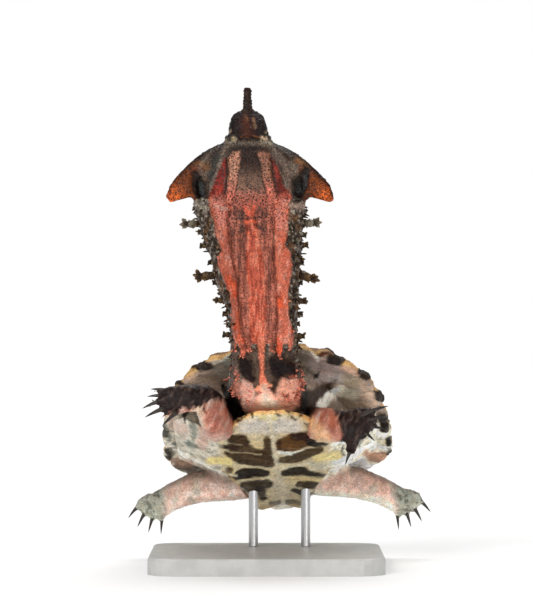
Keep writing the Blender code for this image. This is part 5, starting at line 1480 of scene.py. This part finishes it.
def build_plastron(settings):
    mesh = remesh(merged_copy(["plastron"], 0.0), settings.voxel)
    pairs = edge_pairs(mesh)
    places = relax(read(mesh) / MM, pairs, 0.5, 1)
    write(mesh, places)
    normals = read(mesh, "vertex_normals", "vector")
    out = 0.12 * clouds(places, 1.8, 121, 3)
    x0, z0 = plan(places)
    middle = hump(x0 - table(MIDLINE, z0), 0.5)
    out -= 0.3 * middle
    write(mesh, places + normals * out[:, None])
    count = len(places)
    x = x0 + 0.35 * clouds(places, 2.0, 122, 3)
    z = z0 + 0.3 * clouds(places, 2.0, 123, 3)
    soft = clouds(places, 6.0, 124, 3)
    fine = clouds(places, 1.0, 125, 3)
    tint = lay(
        (0.76, 0.7, 0.57), ((0.84, 0.79, 0.66), step(0.0, 0.7, soft)),
        ((0.58, 0.52, 0.4), 0.5 * step(0.1, 0.7, fine)),
    )
    plain = dress(tint, x, z, [
        (np.multiply(tone, 0.72), strength, soft, *[(px, pz, r + 0.4) for px, pz, r in path])
        if sum(tone) < 1.3 else (tone, strength, soft, *path)
        for tone, strength, soft, *path in BELLY_MARKS
    ])
    hub = np.hypot(x - np.where(x < 2, -24, 28), (z - 50) * 1.5)
    ray = clouds(np.stack([np.arctan2(z - 50, x - np.where(x < 2, -24, 28)) * 26, hub * 0.12, z * 0], 1), 1.0, 126, 3)
    ring = np.sin(hub * 2.1 + 1.5 * fine)
    dark = np.clip((0.3 - plain.sum(axis=1)) / 0.2, 0, 1)
    plain = plain * (1 + dark * (0.75 * step(0.1, 0.7, ray) + 0.35 * ring * step(-0.2, 0.6, soft)))[:, None]
    pale = np.clip((plain.sum(axis=1) - 0.8) / 0.5, 0, 1)
    specks = step(0.45, 0.75, fine) * stroke(x, z, ((-6, 59.0, 1.6), (5, 60, 2.0)), 2.5)
    tint = blend(plain, srgb(0.25, 0.21, 0.18), 0.75 * specks * pale)
    middle = stroke(x, z, [(px, pz, 0.8) for pz, px in MIDLINE], 0.5)
    tint = blend(tint, srgb(0.82, 0.78, 0.68), 0.9 * middle)
    u, v, h = ((places - BODY_AT) @ AXES.T).T
    span = table(((-33, 23.6), (-24, 20.6), (-12, 16), (-7, 13), (-3, 9.5), (0, 5)), u)
    rim = step(-1.4, -0.5, np.maximum(np.abs(v) - span, u * 0.8)) * step(-26, -20, u)
    gold = lay((0.85, 0.68, 0.44), ((0.3, 0.21, 0.14), step(0.3, 0.6, clouds(places, 2.0, 127, 2))))
    tint = blend(tint, gold, 0.9 * rim)
    tint = dress(tint, x, z, EDGE_MARKS)
    wing = step(20.5, 24.5, np.abs(v) + 0.8 * fine)
    tint = blend(tint, underside(places), wing * (1 - stroke(x, z, ((-22.6, 46.4, 1.8), (28.4, 48.4, 2.0)), 0.8)))
    paint(mesh, "Tint", grade(tint, settings.depth, normals))
    paint(mesh, "Marks", np.tile((0.5, 0.8, 0.0), (count, 1)))
    return mesh


# ---- lappets, claws and eyes ----


def neck_at(height):
    """Centre and half sizes of the neck at a height."""
    upright = [row for row in NECK if row[2] >= 84]
    return [float(table([(row[2], row[k]) for row in upright], height)) for k in (0, 1, 4, 5)]


def lappet_tint(root, tip, rng):
    shade = rng.uniform(0.8, 1.2)
    root, tip = srgb(*root) * shade, srgb(*tip) * shade

    def tint(s):
        return blend(root, tip, step(0.3, 1.0, s))

    return tint


def taper(s):
    return np.where(s >= 0.999, 0.12, (1 - s) ** 0.55 * 0.85 + 0.15)


def ragged(rng):
    """A tapering outline with lumps of its own."""
    phase = rng.uniform(0, 6)

    def profile(s):
        return taper(s) * (1 + 0.18 * np.sin(9 * s + phase))

    return profile


def frond(growth, rng, root, heading, reach, wide, spurs, tinted):
    """A branched lappet: a waisted stem, a fan of fingers at its tip and spurs along it."""
    heading = np.asarray(heading, float) / np.linalg.norm(heading)
    up = np.array((0.0, 0.0, 1.0))
    bend = up * rng.uniform(-0.12, 0.14)
    stem = reach * 0.78

    def waist(s):
        return np.interp(s, (0, 0.4, 0.7, 1.0), (1.0, 0.5, 0.72, 0.3))

    growth.add(root, heading, (0, 1, 0), stem, wide * 0.62, 0.9, tinted(), waist, bend)
    end = root + (heading + bend) * (stem - 0.6)
    fingers = 2 + spurs // 5
    for k in range(fingers):
        turn = math.radians(-55 + 110 * k / (fingers - 1) + rng.uniform(-12, 12))
        aim = heading * math.cos(turn) + up * math.sin(turn) + (0, rng.uniform(-0.3, 0.3), 0)
        growth.add(
            end, aim, (0, 1, 0), reach * rng.uniform(0.2, 0.34), wide * 0.3, 0.6, tinted(), ragged(rng),
        )
    for k in range(spurs):
        share = 0.3 + 0.65 * (k + rng.random()) / spurs
        start = root + heading * (stem * share) + bend * stem * share**2
        aim = heading * rng.uniform(-0.3, 0.8) + up * (1 if k % 2 else -1)
        aim = aim + (0, rng.uniform(-0.6, 0.6), 0)
        growth.add(
            start, aim, (0, 1, 0), 0.5 + reach * rng.uniform(0.06, 0.2), 0.35 + wide * rng.uniform(0.08, 0.17), 0.5,
            tinted(), ragged(rng),
        )


def build_lappets(settings, skin):
    """Branched lappets down both sides of the neck, with stubs and tubercles between them."""
    rng = random.Random(17)
    growth = Growth(8, 5)
    depth = settings.depth
    coats = (
        ((0.2, 0.15, 0.11), (0.42, 0.32, 0.2)), ((0.17, 0.13, 0.1), (0.3, 0.22, 0.15)),
        ((0.24, 0.2, 0.16), (0.56, 0.52, 0.45)), ((0.6, 0.34, 0.28), (0.88, 0.52, 0.43)),
    )

    def tinted(root, tip):
        made = lappet_tint(root, tip, rng)
        return lambda s: grade(made(s), depth)

    for height, length, wide, branches in FRINGES:
        for side in (-1, 1):
            x, y, half, _ = neck_at(height)
            root = np.array((x + side * (half - 2.4), y + 1.0, height))
            heading = (side, rng.uniform(-0.15, 0.1), rng.uniform(-0.1, 0.2))
            coat = coats[2] if height > 136 else coats[int(height) % 2]
            frond(
                growth, rng, root, heading, length + 2.4, wide, 2 + branches * 2, lambda: tinted(*coat),
            )
    tree = BVHTree.FromObject(skin, bpy.context.evaluated_depsgraph_get())
    for _ in range(settings.stubs):
        height = rng.uniform(72, 149)
        side = rng.choice((-1, 1))
        x, y, half, deep = neck_at(height)
        angle = rng.uniform(-0.75 if height > 86 else -0.1, 1.2)
        spot = Vector((x + side * half * math.cos(angle), y + deep * math.sin(angle), height)) * MM
        place, normal, _, _ = tree.find_nearest(spot)
        heading = np.array(normal) + (side * 0.4, rng.uniform(-0.3, 0.4), rng.uniform(-0.7, 0.5))
        length = rng.choice((0.4, 0.6, 0.9, 1.3, 2.4))
        coat = coats[2] if rng.random() < 0.25 + 0.3 * (height > 132) else rng.choice(coats[:2])
        coat = coats[3] if height < 83 else coat
        growth.add(
            np.array(place) / MM - np.array(normal) * 0.5, heading, (0, 0.3, 1), length + 0.5,
            rng.uniform(0.5, 0.95) + 0.1 * length, rng.uniform(0.4, 0.7), tinted(*coat), ragged(rng),
        )
    tips = [(-19.2, 127.5, 0.9), (9.9, 124.4, 0.9), (10.6, 98.4, 0.9), (-13.9, 104.6, 0.9), (8.9, 110.0, 0.9)]
    tips += [(x + rng.uniform(-1, 1), z + rng.uniform(0, 2.4), rng.uniform(0.8, 1.2)) for x, z in LOBES * 3]
    for count, low, high, bottom, top in TUBERCLES:
        tips += [
            (rng.uniform(low, high), rng.uniform(bottom, top), rng.uniform(0.45, 0.95)) for _ in range(count)
        ]
    for x, z, size in tips:
        hit = tree.ray_cast(Vector((x, -150, z)) * MM, Vector((0, 1, 0)))
        if hit[0] is None:
            continue
        place = np.array(hit[0]) / MM
        heading = np.array((rng.uniform(-0.4, 0.4), -0.8, rng.uniform(-0.6, 0.1)))
        growth.add(
            place + np.array((0, 0.6, 0.3)), heading, (0, 0, 1), 1.5 * size + 0.6, 0.7 * size, 0.6 * size,
            tinted((0.78, 0.44, 0.37), (0.9, 0.55, 0.45)), ragged(rng),
        )
    mesh = growth.finish("lappets")
    paint(mesh, "Marks", np.tile((0.15, 0.8, 0.0), (len(mesh.vertices), 1)))
    return mesh


def build_claws(settings):
    growth = Growth(12, 7)

    def tint(s):
        base = srgb(0.09, 0.08, 0.08)
        colour = blend(base, srgb(0.22, 0.19, 0.17), step(0.15, 0.6, 1 - s))
        return grade(colour, settings.depth)

    for root, direction, droop, length in claw_roots():
        growth.add(
            root, direction, droop, length, CLAW_RADIUS * (0.5 + 0.055 * length),
            CLAW_RADIUS * (0.6 + 0.055 * length),
            tint, lambda s: np.where(s >= 0.999, 0.04, (1 - s) ** 0.7 + 0.02), droop * 0.16,
        )
    return growth.finish("claws")


def build_eyes():
    bm = bmesh.new()
    for place in EYE_PLACES:
        bmesh.ops.create_uvsphere(
            bm, u_segments=32, v_segments=20, radius=EYE_RADIUS * MM,
            matrix=Matrix.Translation(Vector(place) * MM),
        )
    mesh = bpy.data.meshes.new("eyes")
    bm.to_mesh(mesh)
    bm.free()
    return mesh


def eye_finish():
    finish = Finish("eye_dark")
    iris = finish.mix(finish.ramp(finish.noise(0.5, 3.0), 0.4, 0.6), (0.012, 0.009, 0.006), (0.05, 0.03, 0.015))
    return finish.set(Base_Color=iris, Roughness=0.08, Coat_Weight=0.6)


# ---- stand and stage ----


def stand_finishes():
    base = Finish("stand_satin")
    tone = base.ramp(base.noise(6.0, 4.0), 0.3, 0.7, 0.0, 1.0)
    colour = base.mix(tone, tuple(srgb(0.7, 0.7, 0.69)), tuple(srgb(0.75, 0.75, 0.74)))
    rough = base.ramp(base.noise(1.5, 3.0), 0.3, 0.7, 0.36, 0.5)
    base.set(Base_Color=colour, Roughness=rough, Normal=base.bump(base.noise(0.4, 2.0), 0.12, 0.05))
    rod = Finish("rod_steel")
    brush = rod.noise(0.3, 4.0, (1.0, 1.0, 0.05))
    tone = rod.mix(brush, tuple(srgb(0.66, 0.66, 0.67)), tuple(srgb(0.8, 0.8, 0.8)))
    rod.set(
        Base_Color=tone, Metallic=1.0, Roughness=rod.ramp(brush, 0.3, 0.7, 0.22, 0.38),
        Normal=rod.bump(brush, 0.15, 0.04),
    )
    return base.made, rod.made


def studio_world(ambient):
    """A white backdrop that gives only a share of its brightness as light."""
    world = bpy.data.worlds.new("studio")
    world.use_nodes = True
    tree = world.node_tree
    seen = tree.nodes["Background"]
    seen.inputs[0].default_value = (1, 1, 1, 1)
    seen.inputs[1].default_value = 1.0
    soft = tree.nodes.new("ShaderNodeBackground")
    soft.inputs[0].default_value = (1, 1, 1, 1)
    soft.inputs[1].default_value = ambient
    ray = tree.nodes.new("ShaderNodeLightPath")
    both = tree.nodes.new("ShaderNodeMixShader")
    tree.links.new(ray.outputs["Is Camera Ray"], both.inputs[0])
    tree.links.new(soft.outputs[0], both.inputs[1])
    tree.links.new(seen.outputs[0], both.inputs[2])
    tree.links.new(both.outputs[0], tree.nodes["World Output"].inputs[0])
    return world


def sun(name, place, power, width, colour):
    """A wide soft lamp that shines from the side of place."""
    data = bpy.data.lights.new(name, "SUN")
    data.energy = power
    data.angle = math.radians(width)
    data.color = colour
    light = bpy.data.objects.new(name, data)
    light.location = place
    light.rotation_euler = Vector(place).to_track_quat("Z", "Y").to_euler()
    bpy.context.scene.collection.objects.link(light)


# ---- settings, operators and panel ----


class TurtleSkin(bpy.types.PropertyGroup):
    voxel: FloatProperty(
        name="Grain", description="Edge length of the skin's even mesh, in millimetres",
        default=0.8, min=0.3, max=3.0,
    )
    depth: FloatProperty(
        name="Depth", description="How deep the skin's colours are", default=0.98, min=0.2, max=1.5,
        subtype="FACTOR",
    )
    stubs: IntProperty(
        name="Stubs", description="Small stubs between the neck's lappets", default=400, min=0,
    )


class TurtleShell(bpy.types.PropertyGroup):
    voxel: FloatProperty(
        name="Grain", description="Edge length of the shells' even mesh, in millimetres",
        default=0.6, min=0.3, max=3.0,
    )
    depth: FloatProperty(
        name="Depth", description="How deep the shells' colours are", default=0.98, min=0.2,
        max=1.5, subtype="FACTOR",
    )


class TurtleStage(bpy.types.PropertyGroup):
    floor: FloatVectorProperty(
        name="Floor", description="Colour of the floor", default=(0.92, 0.92, 0.92), subtype="COLOR",
    )
    light: FloatProperty(name="Light", description="Strength of the lamps", default=1.0, min=0.0)
    ambient: FloatProperty(
        name="Ambient", description="Light that comes from all round", default=0.38, min=0.0,
    )


class TURTLE_OT_skin(bpy.types.Operator):
    """Make the one skin that covers the head, neck, torso, limbs and tail"""

    bl_idname = "turtle.skin"
    bl_label = "Skin"

    def execute(self, context):
        mesh = build_skin(context.scene.turtle_skin)
        show("skin", mesh, skin_finish("wet_skin"), FLESH)
        return {"FINISHED"}


class TURTLE_OT_lappets(bpy.types.Operator):
    """Make the lappets, stubs and tubercles of the neck"""

    bl_idname = "turtle.lappets"
    bl_label = "Lappets"

    def execute(self, context):
        context.view_layer.update()
        mesh = build_lappets(context.scene.turtle_skin, bpy.data.objects["skin"])
        show("lappets", mesh, skin_finish("lappet_skin"))
        return {"FINISHED"}


class TURTLE_OT_shells(bpy.types.Operator):
    """Make the carapace and the plastron with their growth rings and markings"""

    bl_idname = "turtle.shells"
    bl_label = "Shells"

    def execute(self, context):
        settings = context.scene.turtle_shell
        finish = horn_finish("shell_plates")
        show("carapace_plates", build_carapace(settings), finish, ("carapace",))
        show("plastron_plates", build_plastron(settings), finish, ("plastron",))
        return {"FINISHED"}


class TURTLE_OT_claws(bpy.types.Operator):
    """Make the claws of all four feet"""

    bl_idname = "turtle.claws"
    bl_label = "Claws"

    def execute(self, context):
        show("claws", build_claws(context.scene.turtle_skin), claw_finish())
        return {"FINISHED"}


class TURTLE_OT_eyes(bpy.types.Operator):
    """Make both eyes"""

    bl_idname = "turtle.eyes"
    bl_label = "Eyes"

    def execute(self, context):
        show("eyes", build_eyes(), eye_finish(), ("eye_right", "eye_left"))
        return {"FINISHED"}


class TURTLE_OT_stand(bpy.types.Operator):
    """Finish the display stand"""

    bl_idname = "turtle.stand"
    bl_label = "Stand"

    def execute(self, context):
        base, rod = stand_finishes()
        for name, finish in (("stand_base", base), ("stand_rod_right", rod), ("stand_rod_left", rod)):
            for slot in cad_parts[name].material_slots:
                slot.material = finish
        return {"FINISHED"}


class TURTLE_OT_stage(bpy.types.Operator):
    """Set the floor, the lamps and the camera"""

    bl_idname = "turtle.stage"
    bl_label = "Stage"

    def execute(self, context):
        settings = context.scene.turtle_stage
        bm = bmesh.new()
        bmesh.ops.create_grid(bm, x_segments=8, y_segments=8, size=4.0)
        mesh = bpy.data.meshes.new("floor")
        bm.to_mesh(mesh)
        bm.free()
        finish = Finish("floor_paper")
        tone = finish.noise(40.0, 2.0)
        pale = tuple(settings.floor)
        colour = finish.mix(tone, pale, tuple(value * 0.99 for value in pale))
        finish.set(Base_Color=colour, Roughness=0.9)
        mesh.materials.append(finish.made)
        floor = bpy.data.objects.new("floor", mesh)
        context.scene.collection.objects.link(floor)
        floor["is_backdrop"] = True
        context.scene.world = studio_world(settings.ambient)
        power = settings.light
        sun("key", (-0.45, -1.0, 0.55), 1.35 * power, 18, (1.0, 0.985, 0.96))
        sun("front", (0.25, -1.0, 0.04), 1.05 * power, 30, (1.0, 0.99, 0.975))
        sun("top", (0.1, 0.35, 1.0), 2.0 * power, 60, (1.0, 1.0, 1.0))
        data = bpy.data.cameras.new("camera")
        data.sensor_width = 36
        data.lens = VIEW_LENS
        data.clip_start = 0.05
        camera = bpy.data.objects.new("camera", data)
        camera.location = (0, (NECK_PLANE - VIEW_DISTANCE) * MM, VIEW_HEIGHT * MM)
        camera.rotation_euler = (math.pi / 2, 0, 0)
        context.scene.collection.objects.link(camera)
        context.scene.camera = camera
        context.scene.view_settings.view_transform = "Standard"
        return {"FINISHED"}


OPERATORS = (
    TURTLE_OT_skin, TURTLE_OT_lappets, TURTLE_OT_shells, TURTLE_OT_claws, TURTLE_OT_eyes,
    TURTLE_OT_stand, TURTLE_OT_stage,
)
GROUPS = (
    ("turtle_skin", TurtleSkin), ("turtle_shell", TurtleShell), ("turtle_stage", TurtleStage),
)


class TURTLE_PT_panel(bpy.types.Panel):
    """The turtle's pieces and their settings"""

    bl_label = "Turtle"
    bl_space_type = "VIEW_3D"
    bl_region_type = "UI"
    bl_category = "Turtle"

    def draw(self, context):
        for name, group in GROUPS:
            for key in group.__annotations__:
                self.layout.prop(getattr(context.scene, name), key)
        for operator in OPERATORS:
            self.layout.operator(operator.bl_idname)


CLASSES = (TurtleSkin, TurtleShell, TurtleStage) + OPERATORS + (TURTLE_PT_panel,)


def register():
    for made in CLASSES:
        bpy.utils.register_class(made)
    for name, group in GROUPS:
        setattr(bpy.types.Scene, name, PointerProperty(type=group))


def unregister():
    for name, _ in GROUPS:
        delattr(bpy.types.Scene, name)
    for made in reversed(CLASSES):
        bpy.utils.unregister_class(made)


def main():
    register()
    for operator in OPERATORS:
        group, name = operator.bl_idname.split(".")
        getattr(getattr(bpy.ops, group), name)()
    boxes = {"cad": CAD_BOX, "visual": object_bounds()}
    lists = {key: [list(corner) for corner in value] for key, value in boxes.items()}


if __name__ == "__main__":
    main()
